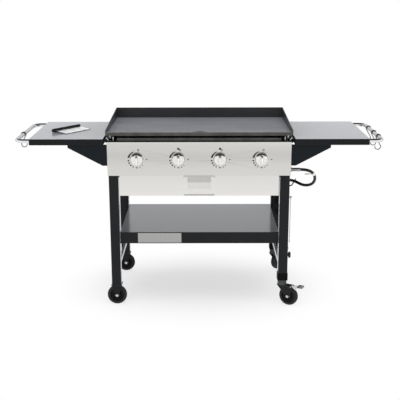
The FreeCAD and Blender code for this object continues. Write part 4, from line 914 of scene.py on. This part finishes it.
class GRIDDLE_OT_hose(bpy.types.Operator):
    """Run the gas hose from its fitting, over its hook, down to the regulator"""
    bl_idname = "griddle.hose"
    bl_label = "Gas hose"

    def execute(self, context):
        s = sizes()
        radius = s.hose_diameter / 2
        curve = make_hose_curve("gas_hose_cover", radius)
        curve.materials.append(finish("hose_rubber"))
        hose = bpy.data.objects.new("gas_hose_cover", curve)
        context.scene.collection.objects.link(hose)
        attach(hose, "station")
        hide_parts("gas_hose")
        line = hose_line()

        bm = bmesh.new()
        band = stretch_of(line, 0.070, 0.016)
        tube(bm, band, radius + 0.5 * MM)
        make_hose_tag(bm, band[len(band) // 2], radius)
        band_piece = piece("hose_band", bm, ("ceramic", "grey_label"), "station")
        fitting = make_hose_fitting()
        regulator = make_regulator()
        dress("hose_hook", "black_and_shade")
        return {"FINISHED"}


# Cooking plate and firebox

def make_griddle_feet():
    """Zinc levelling feet: a stud, a nut and a round pad."""
    boxes = solids_of("griddle_feet")
    bm = bmesh.new()
    for low, high in boxes:
        centre = (low + high) / 2
        place = along((0, 0, 1), (centre.x, centre.y, low.z))
        radius = (high.x - low.x) / 2
        tall = high.z - low.z
        pad = from_rim(radius, (-0.6, 0), (0, 0.6), (0, 2.4), (-1.2, 3.4))
        lathe(bm, [(0.0, 0.0)] + pad + mm((4, 3.8), (4, 5), (0, 5)), place, 0, steps=32)
        stud = [(0.0, 4.5 * MM)]
        for k in range(5):
            at = 4.6 * MM + k * 0.8 * MM
            stud += [(3.4 * MM, at), (4.0 * MM, at + 0.4 * MM)]
        stud += [(3.4 * MM, 8.8 * MM), (0.0, 8.8 * MM)]
        lathe(bm, stud, place, 0, steps=24)
        hexagon(bm, radius - 0.2 * MM, 8 * MM, tall, place, 0)
    piece("griddle_feet_studs", bm, ("zinc",), "griddle", ("griddle_feet",))


class GRIDDLE_OT_cooking_plate(bpy.types.Operator):
    """Finish the cooking plate and build its feet"""
    bl_idname = "griddle.cooking_plate"
    bl_label = "Cooking plate"

    def execute(self, context):
        dress("griddle_plate", "griddle_steel", sizes().plate_edge, 3)
        face = frame["record"]["mounts"][0]["pos_m"][2]
        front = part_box("griddle_plate")[0].y
        paint_where("griddle_plate", "cooking_face", lambda c, n: abs(c.z - face) < 0.2 * MM)
        # A lighter band along the lip's top: wear, with a painted highlight along its edge.
        paint_where("griddle_plate", "lip_wear_and_highlight", lambda c, n: n.z > 0.7 and c.y < front + 12 * MM)
        paint_where("griddle_plate", "lip_face", lambda c, n: n.y < -0.9 and c.y < front + MM)
        make_griddle_feet()
        return {"FINISHED"}


class GRIDDLE_OT_firebox(bpy.types.Operator):
    """Finish the firebox, its panels, the grease tray and what hangs under it"""
    bl_idname = "griddle.firebox"
    bl_label = "Firebox and panels"

    def execute(self, context):
        edge = sizes().sheet_edge
        dress("control_panel", "stainless", edge)
        # The panel's top faces under the plate's lip are painted near-black: painted shade.
        paint_where("control_panel", "black_and_shade", lambda c, n: n.z > 0.7)
        # The lower panel and grease tray take the lighter copy of the stainless: painted reflection.
        for node in ("lower_front_panel", "grease_tray"):
            dress(node, "lower_stainless_painted_bright", edge)
        for node in ("firebox_side_walls", "firebox_rear_wall"):
            dress(node, "black_paint", edge)
            paint_where(node, "black_and_shade", lambda c, n: abs(n.z) > 0.7)
        # The grease chute is galvanised steel; it is near-black here as painted shade in the dark gap under the
        # lip.
        for node in ("firebox_front_wall", "heat_shield", "grease_chute", "tray_runners"):
            dress(node, "black_and_shade", edge)
        make_front_trim()
        make_corner_brackets()
        make_tray_label()
        return {"FINISHED"}


def make_front_trim():
    """A thin upright strip along the top of the firebox's front bar."""
    low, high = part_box("firebox_front_wall")
    half, thick = 396 * MM, 1.2 * MM
    z0, z1 = high.z - 9.0 * MM, high.z + 4.4 * MM
    place = facing_front(0.0, low.y, (z0 + z1) / 2)
    bm = bmesh.new()
    slab(bm, half, (z1 - z0) / 2, 0.8 * MM, thick, 0.3 * MM, place)
    piece("front_bar_trim", bm, ("smoked",), "station")


def make_corner_brackets():
    """Brackets at the ends of the panel: a slanted brace, an upright tab and a screw."""
    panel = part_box("control_panel")[1].z
    wide, thick = 4.2 * MM, 1.8 * MM
    back = -256 * MM
    bm = bmesh.new()
    for side in (-1, 1):
        tab = facing_front(side * 414 * MM, back, panel + 10 * MM)
        slab(bm, 2.6 * MM, 10 * MM, 1.0 * MM, thick, 0.3 * MM, tab, 1)
        brace = facing_front(side * 438 * MM, back, panel + 5 * MM) @ Matrix.Rotation(
            math.radians(-side * 43), 4, "Z")
        slab(bm, wide / 2, 15 * MM, 1.0 * MM, thick, 0.3 * MM, brace)
        # The foot on the panel's top is painted near-black: painted shade under the plate.
        foot = Matrix.Translation((side * 424 * MM, -262 * MM, panel))
        slab(bm, 13 * MM, 7 * MM, 1.5 * MM, thick, 0.3 * MM, foot, 2)
        screw = Matrix.Translation((side * 424 * MM, -263 * MM, panel + thick))
        hexagon(bm, 3.2 * MM, 0.0, 2.4 * MM, screw)
    piece("corner_brackets", bm, ("zinc", "steel_bar", "black_and_shade"), "station")


def make_tray_label():
    """A blank label of two fields on the front of the grease tray."""
    low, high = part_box("grease_tray")
    front = low.y + 9 * MM
    top = high.z - 3 * MM
    bm = bmesh.new()
    upper, lower = 28 * MM, 31 * MM
    thick = 0.2 * MM
    for height, z, index in ((upper, top - upper / 2, 0), (lower, top - upper - lower / 2, 1)):
        place = facing_front(0.0, front, z)
        slab(bm, 57 * MM, height / 2 - 0.3 * MM, 1.2 * MM, thick, 0.05 * MM, place, index)
    piece("tray_label", bm, ("grey_label", "pale_label"), "tray")


# Knobs

def knob_place(index, on_panel=True):
    """A knob's axis, from the panel's face or from the knob's own foot, and its radius."""
    low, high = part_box("knob_%d" % index)
    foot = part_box("control_panel")[0].y if on_panel else high.y
    centre = (low + high) / 2
    return facing_front(centre.x, foot, centre.z), (high.x - low.x) / 2


def make_knob(index):
    """A chrome knob: a turned rim, a wide rolled shoulder, a shallow dome and an arched grip."""
    node = "knob_%d" % index
    place, r = knob_place(index, on_panel=False)
    bm = bmesh.new()
    shoulder = from_rim(r, (-1.2, 0), (-0.3, 0.5), (0, 1.4), (0, 3.0), (-0.3, 4.2), (-1.1, 6.0),
                        (-2.3, 7.9), (-4.0, 9.9), (-6.0, 11.5), (-9.0, 13.0), (-13.0, 14.1),
                        (-18.0, 15.1), (-24.0, 15.8))
    lathe(bm, [(0.0, 0.0)] + shoulder + mm((0, 16.2)), place, 0, steps=96)
    reach, tall, drop, foot = 21.0 * MM, 31 * MM, 6.0 * MM, 11 * MM
    steps = 28
    sections = []
    crest = []
    for k in range(steps + 1):
        share = math.cos(math.pi * k / steps)
        along_grip = reach * share
        height = tall - drop * share * share
        ends = math.sqrt(max(1.0 - abs(share) ** 6, 0.0))
        half = max(6.4 * MM * ends, 0.4 * MM)
        top = half * 0.70
        section = []
        for wide, up in ((half * 1.4, foot), (half * 1.2, foot + (height - foot) * 0.35),
                         (half * 0.92, height - 2.6 * MM * ends), (top, height - 1.0 * MM * ends),
                         (top * 0.6, height - 0.25 * MM * ends), (0.0, height)):
            section.append((wide, up))
        outline = section + [(-wide, up) for wide, up in section[-2::-1]]
        sections.append([place @ Vector((x, along_grip, up)) for x, up in outline])
        crest.append((share, along_grip, height))
    skin(bm, sections, 2)
    strip = []
    for share, along_grip, height in crest:
        if 0.45 < share < 0.90:
            strip.append([place @ Vector((x, along_grip, height + up)) for x, up in
                          ((-0.6 * MM, -0.6 * MM), (0.6 * MM, -0.6 * MM),
                           (0.5 * MM, 0.1 * MM), (-0.5 * MM, 0.1 * MM))])
    skin(bm, strip, 1)
    piece(node + "_chrome", bm, ("cast_chrome", "print", "blade_steel"), body_of(node),
          (node,))


def make_marks(index):
    """Setting marks round a knob: an arc, dots, a dash, a tick, a zero and, on two, a flame."""
    thick = sizes().mark_thick
    radius = sizes().mark_radius
    place, _ = knob_place(index)
    bm = bmesh.new()
    steps = 24
    start, end = 168.0, 110.0
    outer, inner = [], []
    for k in range(steps + 1):
        share = k / steps
        a = math.radians(start + (end - start) * share)
        half = (9.6 - 6.6 * share ** 1.2) * MM / 2
        outer.append(((radius + half) * math.cos(a), (radius + half) * math.sin(a)))
        inner.append(((radius - half) * math.cos(a), (radius - half) * math.sin(a)))
    outline = outer + inner[::-1]
    skin(bm, [[place @ Vector((x, y, height)) for x, y in outline] for height in (0.0, thick)])
    for angle, size in ((188.0, 3.9), (206.0, 3.9), (224.0, 3.8), (243.0, 3.2), (293.0, 2.6),
                        (312.0, 2.2)):
        a = math.radians(angle)
        dot = place @ Matrix.Translation((radius * math.cos(a), radius * math.sin(a), 0.0))
        lathe(bm, [(0.0, 0.0), (size * MM, 0.0), (size * MM, thick), (0.0, thick)], dot, steps=24)
    dash = place @ Matrix.Translation((0.0, -radius, 0.0))
    slab(bm, 5.8 * MM, 2.1 * MM, 2.0 * MM, thick, 0.03 * MM, dash)
    tick = place @ Matrix.Translation((radius + 6.5 * MM, 0.0, 0.0))
    slab(bm, 4.6 * MM, 1.6 * MM, 0.8 * MM, thick, 0.03 * MM, tick)
    zero = place @ Matrix.Translation((8 * MM, radius + 5 * MM, 0.0))
    oval_ring(bm, 4.6 * MM, 6.0 * MM, 2.4 * MM, thick, zero)
    if index in (2, 3):
        flame = place @ Matrix.Translation((0.0, radius + 13 * MM, 0.0))
        drop = []
        for k in range(24):
            a = 2 * math.pi * k / 24
            drop.append((9 * MM * math.sin(a) * abs(math.sin(a / 2)) ** 1.5,
                         6 * MM * math.cos(a)))
        skin(bm, [[flame @ Vector((x, y, height)) for x, y in drop] for height in (0.0, thick)])
    piece("setting_marks_%d" % index, bm, ("print",), "station")


def oval_ring(bm, half_width, half_height, stroke, thick, place):
    """A printed zero: an oval with an oval hole."""
    turns = [2 * math.pi * k / 28 for k in range(28)]
    rings = []
    for inset, height in ((0.0, 0.0), (0.0, thick), (stroke, thick), (stroke, 0.0)):
        rings.append([place @ Vector(((half_width - inset) * math.cos(a),
                                      (half_height - inset) * math.sin(a), height))
                      for a in turns])
    skin(bm, rings, closed=True)


def make_bezel(index):
    """A bright pressed ring on the panel, round a knob."""
    place, r = knob_place(index)
    bm = bmesh.new()
    lathe(bm, from_rim(r, (0.5, 0), (0.6, 1.2), (1.1, 1.8), (2.0, 1.6), (2.9, 0.9), (3.4, 0)),
          place, 0, closed=True, steps=96)
    piece("knob_bezel_%d" % index, bm, ("blade_steel",), "station")


class GRIDDLE_OT_knobs(bpy.types.Operator):
    """Build the four chrome knobs with the bezels and the marks round them"""
    bl_idname = "griddle.knobs"
    bl_label = "Knobs and marks"

    def execute(self, context):
        count = sum(name.startswith("knob_") for name in frame["nodes"])
        for index in range(1, count + 1):
            make_knob(index)
            make_bezel(index)
            make_marks(index)
            dress("valve_stem_%d" % index, "steel_bar")
            dress("burner_%d" % index, "steel_bar")
        dress("gas_valves", "brass", 0.0004)
        dress("gas_manifold", "zinc")
        dress("igniter_electrodes", "ceramic")
        return {"FINISHED"}


# Frame

def make_apron_plate():
    """A blank foil plate on the front of the bottom shelf's apron."""
    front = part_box("bottom_shelf")[0].y
    x0, x1, z0, z1 = -304.5 * MM, -89.5 * MM, 324.0 * MM, 373.5 * MM
    place = facing_front((x0 + x1) / 2, front, (z0 + z1) / 2)
    bm = bmesh.new()
    slab(bm, (x1 - x0) / 2, (z1 - z0) / 2, 1.5 * MM, 0.3 * MM, 0.08 * MM, place)
    piece("apron_plate", bm, ("foil",), "station")


class GRIDDLE_OT_frame(bpy.types.Operator):
    """Finish the legs, boots, rails and the bottom shelf"""
    bl_idname = "griddle.frame"
    bl_label = "Legs and bottom shelf"

    def execute(self, context):
        s = sizes()
        for node in ("front_left_leg", "rear_left_leg", "front_right_leg", "rear_right_leg"):
            dress(node, "leg_paint_lit", s.leg_edge)
        dress("leg_boots", "black_and_shade", s.sheet_edge)
        dress("lower_side_rails", "leg_paint_lit", s.sheet_edge)
        low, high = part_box("bottom_shelf")
        dress("bottom_shelf", "leg_paint_lit", s.sheet_edge, fold=s.fold_width,
              on_fold=both_near(((2, high.z),), ((1, low.y), (1, high.y))))
        make_apron_plate()
        return {"FINISHED"}


class GRIDDLE_OT_side_shelves(bpy.types.Operator):
    """Finish the side shelves, their gussets, the chrome rails and the hooks"""
    bl_idname = "griddle.side_shelves"
    bl_label = "Side shelves"

    def execute(self, context):
        edge = sizes().sheet_edge
        for node, outer in (("left_side_shelf", 0), ("right_side_shelf", 1)):
            low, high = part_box(node)
            sides = ((1, low.y), (1, high.y), (0, (low.x, high.x)[outer]))
            dress(node, "black_paint", edge, fold=sizes().fold_width,
                  on_fold=both_near(((2, high.z),), sides))
            inner = (high.x, low.x)[outer]
            # The shelf's inner end is painted near-black: painted shade in the gap beside the firebox.
            paint_where(node, "black_and_shade", lambda c, n: abs(n.x) > 0.7 and abs(c.x - inner) < MM)
        # The gussets take the darker copy of the coat: painted shade under the shelves.
        dress("shelf_gussets", "gusset_paint_shaded", edge)
        for node in ("left_handle", "right_handle"):
            dress(node, "chrome")
        for node in ("left_hook", "right_hook_1", "right_hook_2", "right_hook_3"):
            dress(node, "dark_chrome")
        make_gusset_beads()
        return {"FINISHED"}


def make_gusset_beads():
    """A pressed bead along the front of each front gusset."""
    low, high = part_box("shelf_gussets")
    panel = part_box("control_panel")[1].x
    bm = bmesh.new()
    x0, x1 = panel + 8 * MM, high.x - 18 * MM
    z = high.z - 12 * MM
    for side in (-1, 1):
        place = facing_front(side * (x0 + x1) / 2, low.y, z)
        rings = []
        for inset, height in ((0.0, 0.0), (0.5 * MM, 0.35 * MM), (1.1 * MM, 0.6 * MM)):
            outline = rounded((x1 - x0) / 2 - inset, 1.8 * MM - inset, 1.6 * MM)
            rings.append([place @ Vector((x, y, height)) for x, y in outline])
        skin(bm, rings)
    piece("gusset_beads", bm, ("black_paint",), "station")


# Casters

def make_wheel(node, roll):
    """A tyre with a crown and a wheel disc with a ribbed web, round the roll joint's axis."""
    axis = Vector(joint(roll)["axis"])
    centre = middle(node)
    place = along(axis, centre)
    radius = (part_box(node)[1].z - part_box(node)[0].z) / 2
    bm = bmesh.new()
    near = mm((36, 10.6), (38, 11.6), (43, 12), (46, 10.8), (48, 7.6))
    near += from_rim(radius, (-0.3, 3.6), (0, 0))
    tyre = near + [(r, -h) for r, h in near[-2::-1]]
    lathe(bm, tyre, place, 0, closed=True, steps=96)
    piece(node + "_tyre", bm, ("caster_rubber",), body_of(node), (node,))
    bm = bmesh.new()
    half = mm((4.1, 12), (9, 12), (14, 11.4), (15.5, 8.4), (17, 6.4), (24, 6.0), (25, 7.4),
              (27, 7.4), (28, 6.0), (32.5, 6.2), (33.6, 9.8), (36.4, 10.9))
    disc = half + [(r, -h) for r, h in half[::-1]]
    lathe(bm, disc, place, 0, closed=True, steps=72)
    # The disc's recessed rings are painted near-black: painted shade in the recesses.
    inward = place.inverted()
    for face in bm.faces:
        spot = inward @ face.calc_center_median()
        reach = math.hypot(spot.x, spot.y)
        if 15 * MM < reach < 24.5 * MM or 27.5 * MM < reach < 33.5 * MM:
            face.material_index = 1
    piece(node + "_disc", bm, ("caster_rubber", "black_and_shade"), body_of(node))


def near_axis(point, direction, reach):
    """A test for places close to a line."""
    point, direction = Vector(point), Vector(direction).normalized()

    def inside(place, normal):
        offset = place - point
        return (offset - direction * offset.dot(direction)).length < reach

    return inside


class GRIDDLE_OT_casters(bpy.types.Operator):
    """Build the wheels and finish the forks, their bolts and the brakes"""
    bl_idname = "griddle.casters"
    bl_label = "Casters"

    def execute(self, context):
        edge = sizes().sheet_edge
        for place in ("front_left", "rear_left", "front_right", "rear_right"):
            make_wheel(place + "_wheel", place + "_wheel_roll")
        dress("fixed_caster_forks", "leg_paint_lit", edge)
        for place in ("front_right", "rear_right"):
            fork, brake = place + "_fork", place + "_brake"
            dress(fork, "leg_paint_lit", edge)
            dress(brake, "zinc", edge)
            roll = joint(place + "_wheel_roll")
            head = joint(place + "_swivel")["pos_m"][2] + 3 * MM
            paint_where(fork, "caster_head", lambda c, n: c.z > head)
            paint_where(fork, "zinc", near_axis(roll["pos_m"], roll["axis"], 7 * MM))
            press = joint(place + "_brake_press")
            outward = Vector(press["pos_m"]) - Vector(joint(place + "_swivel")["pos_m"])
            outward.z = 0.0
            outward.normalize()
            pivot = Vector(press["pos_m"])
            paint_where(brake, "black_plastic", lambda c, n: (c - pivot).dot(outward) > 32 * MM)
            paint_where(brake, "pedal_plastic", lambda c, n: (c - pivot).dot(outward) > 52 * MM)
        for place in ("front_left", "rear_left"):
            roll = joint(place + "_wheel_roll")
            paint_where("fixed_caster_forks", "zinc",
                        near_axis(roll["pos_m"], roll["axis"], 7 * MM))
        return {"FINISHED"}


# Small parts

def make_bolts():
    """Bolt heads with washers, the lighting rod's peg and one more bolt on the right leg."""
    bm = bmesh.new()
    for low, high in solids_of("bolts_and_peg"):
        centre = (low + high) / 2
        across = high.y - low.y
        long = high.x - low.x
        if long > 12 * MM:
            peg = along((1, 0, 0), (low.x, centre.y, centre.z))
            lathe(bm, [(0.0, 0.0), (2.5 * MM, 0.0), (2.5 * MM, long - 2 * MM),
                       (4 * MM, long - 2 * MM), (4 * MM, long - 0.8 * MM),
                       (3 * MM, long), (0.0, long)], peg, 0, steps=28)
            continue
        out = 1 if centre.x > 0 else -1
        faces_out = abs(centre.x) > 0.43 and abs(centre.x) < 0.6
        way = out if faces_out else -out
        start = low.x if way > 0 else high.x
        place = along((way, 0, 0), (start, centre.y, centre.z))
        r = across / 2
        washer = from_rim(r, (0, 0), (0, 0.8), (-0.4, 1.1))
        lathe(bm, [(0.0, 0.0)] + washer + mm((0, 1.1)), place, 0, steps=32)
        hexagon(bm, r * 0.86, 1.0 * MM, long, place, 0)
    piece("bolt_heads", bm, ("zinc",), "station", ("bolts_and_peg",))
    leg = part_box("front_right_leg")[1].x
    bm = bmesh.new()
    hexagon(bm, 5 * MM, 0.0, 3.6 * MM, along((1, 0, 0), (leg, -257 * MM, 288 * MM)))
    piece("leg_bolt", bm, ("zinc",), "station")


def make_tank_screw():
    """A lobed plastic knob on a threaded zinc screw."""
    low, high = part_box("tank_screw")
    centre = (low + high) / 2
    place = along((1, 0, 0), (low.x, centre.y, centre.z))
    long = high.x - low.x
    head = 11 * MM
    thread_end = long - head
    bm = bmesh.new()
    profile = [(0.0, 0.0), (3.2 * MM, 0.0)]
    turns = int((thread_end - 10 * MM) / (1.25 * MM))
    for k in range(turns):
        at = 0.6 * MM + k * 1.25 * MM
        profile += [(3.4 * MM, at), (4.0 * MM, at + 0.6 * MM)]
    profile += [(4.0 * MM, thread_end), (0.0, thread_end)]
    lathe(bm, profile, place, 0, steps=28)
    neck = thread_end - 6.5 * MM
    lathe(bm, [(0.0, neck), (6.4 * MM, neck), (7.0 * MM, neck + 1 * MM),
               (7.0 * MM, thread_end + 1 * MM), (0.0, thread_end + 1 * MM)], place, 1, steps=36)
    lobes = 6
    levels = ((0.86, thread_end), (0.97, thread_end + 0.8 * MM), (1.0, thread_end + 2.2 * MM),
              (1.0, long - 3 * MM), (0.95, long - 1.2 * MM), (0.82, long - 0.3 * MM), (0.5, long))

    def hollow(a, share):
        return 0.10 * (0.5 - 0.5 * math.cos(lobes * a))

    skin(bm, lobed_rings(place, 16 * MM, lobes * 14, levels, hollow), 1)
    piece("tank_screw_knob", bm, ("zinc", "black_plastic"), "tank_screw",
          ("tank_screw",))


class GRIDDLE_OT_small_parts(bpy.types.Operator):
    """Build the bolt heads and the tank screw, and finish the lighting rod"""
    bl_idname = "griddle.small_parts"
    bl_label = "Small parts"

    def execute(self, context):
        make_bolts()
        make_tank_screw()
        dress("lighting_rod", "zinc")
        return {"FINISHED"}


class GRIDDLE_OT_scraper(bpy.types.Operator):
    """Build the scraper's ribbed grip and finish its blade"""
    bl_idname = "griddle.scraper"
    bl_label = "Scraper"

    def execute(self, context):
        node = frame["nodes"]["scraper_grip"]
        points = [v.co for v in node.data.vertices]
        low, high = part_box("scraper_grip")
        centre = (low + high) / 2
        r = (high.z - low.z) / 2
        first = min(points, key=lambda p: p.x)
        last = max(points, key=lambda p: p.x)
        along_grip = Vector((last.x - first.x, last.y - first.y, 0.0))
        blade = middle("scraper_blade")
        across = Vector((blade.x - centre.x, blade.y - centre.y, 0.0))
        side = across.normalized()
        run = Vector((-side.y, side.x, 0.0))
        if run.dot(along_grip) < 0:
            run = -run
        reach = max(abs((p - centre).dot(run)) for p in points)
        place = along(run, centre - run * reach)
        long = 2 * reach
        bm = bmesh.new()
        profile = [(0.0, 0.0), (r * 0.55, 0.0), (r * 0.86, 1.0 * MM), (r, 4 * MM), (r, 12 * MM)]
        ribs = sizes().grip_ribs
        zone = long - 34 * MM
        pitch = zone / max(ribs, 1)
        for k in range(ribs):
            at = 16 * MM + pitch * k
            profile += [(r, at), (r * 0.88, at + 1.4 * MM), (r * 0.88, at + 2.6 * MM),
                        (r, at + 4.0 * MM)]
        profile += [(r, long - 12 * MM), (r, long - 4 * MM), (r * 0.86, long - 1.0 * MM),
                    (r * 0.55, long), (0.0, long)]
        lathe(bm, profile, place, 0, steps=48)
        piece("scraper_grip_ribbed", bm, ("black_plastic",), "scraper",
              ("scraper_grip",))
        dress("scraper_blade", "blade_steel", 0.0003)
        # The blade's front-facing edge is painted near-black: a painted shade line along it.
        paint_where("scraper_blade", "black_and_shade", lambda c, n: n.y < -0.5)
        return {"FINISHED"}


class GRIDDLE_PT_sidebar(bpy.types.Panel):
    """Lists the station's operators and its colours"""
    bl_idname = "GRIDDLE_PT_sidebar"
    bl_label = "Griddle station"
    bl_space_type = "VIEW_3D"
    bl_region_type = "UI"
    bl_category = "Griddle"

    def draw(self, context):
        layout = self.layout
        for operator in OPERATORS:
            layout.operator(operator.bl_idname)
        for group in (context.scene.griddle_colours, context.scene.griddle_sizes,
                      context.scene.stage_settings):
            box = layout.box()
            for name in group.__annotations__:
                box.prop(group, name)


OPERATORS = (
    GRIDDLE_OT_stage,
    GRIDDLE_OT_hose,
    GRIDDLE_OT_cooking_plate,
    GRIDDLE_OT_firebox,
    GRIDDLE_OT_knobs,
    GRIDDLE_OT_frame,
    GRIDDLE_OT_side_shelves,
    GRIDDLE_OT_casters,
    GRIDDLE_OT_small_parts,
    GRIDDLE_OT_scraper,
)
CLASSES = (GriddleColours, GriddleSizes, StageSettings) + OPERATORS + (GRIDDLE_PT_sidebar,)


def register():
    for cls in CLASSES:
        bpy.utils.register_class(cls)
    bpy.types.Scene.griddle_colours = PointerProperty(type=GriddleColours)
    bpy.types.Scene.griddle_sizes = PointerProperty(type=GriddleSizes)
    bpy.types.Scene.stage_settings = PointerProperty(type=StageSettings)


def unregister():
    del bpy.types.Scene.stage_settings
    del bpy.types.Scene.griddle_sizes
    del bpy.types.Scene.griddle_colours
    for cls in reversed(CLASSES):
        bpy.utils.unregister_class(cls)


def main():
    register()
    for operator in OPERATORS:
        group, name = operator.bl_idname.split(".")
        getattr(getattr(bpy.ops, group), name)()


if __name__ == "__main__":
    main()
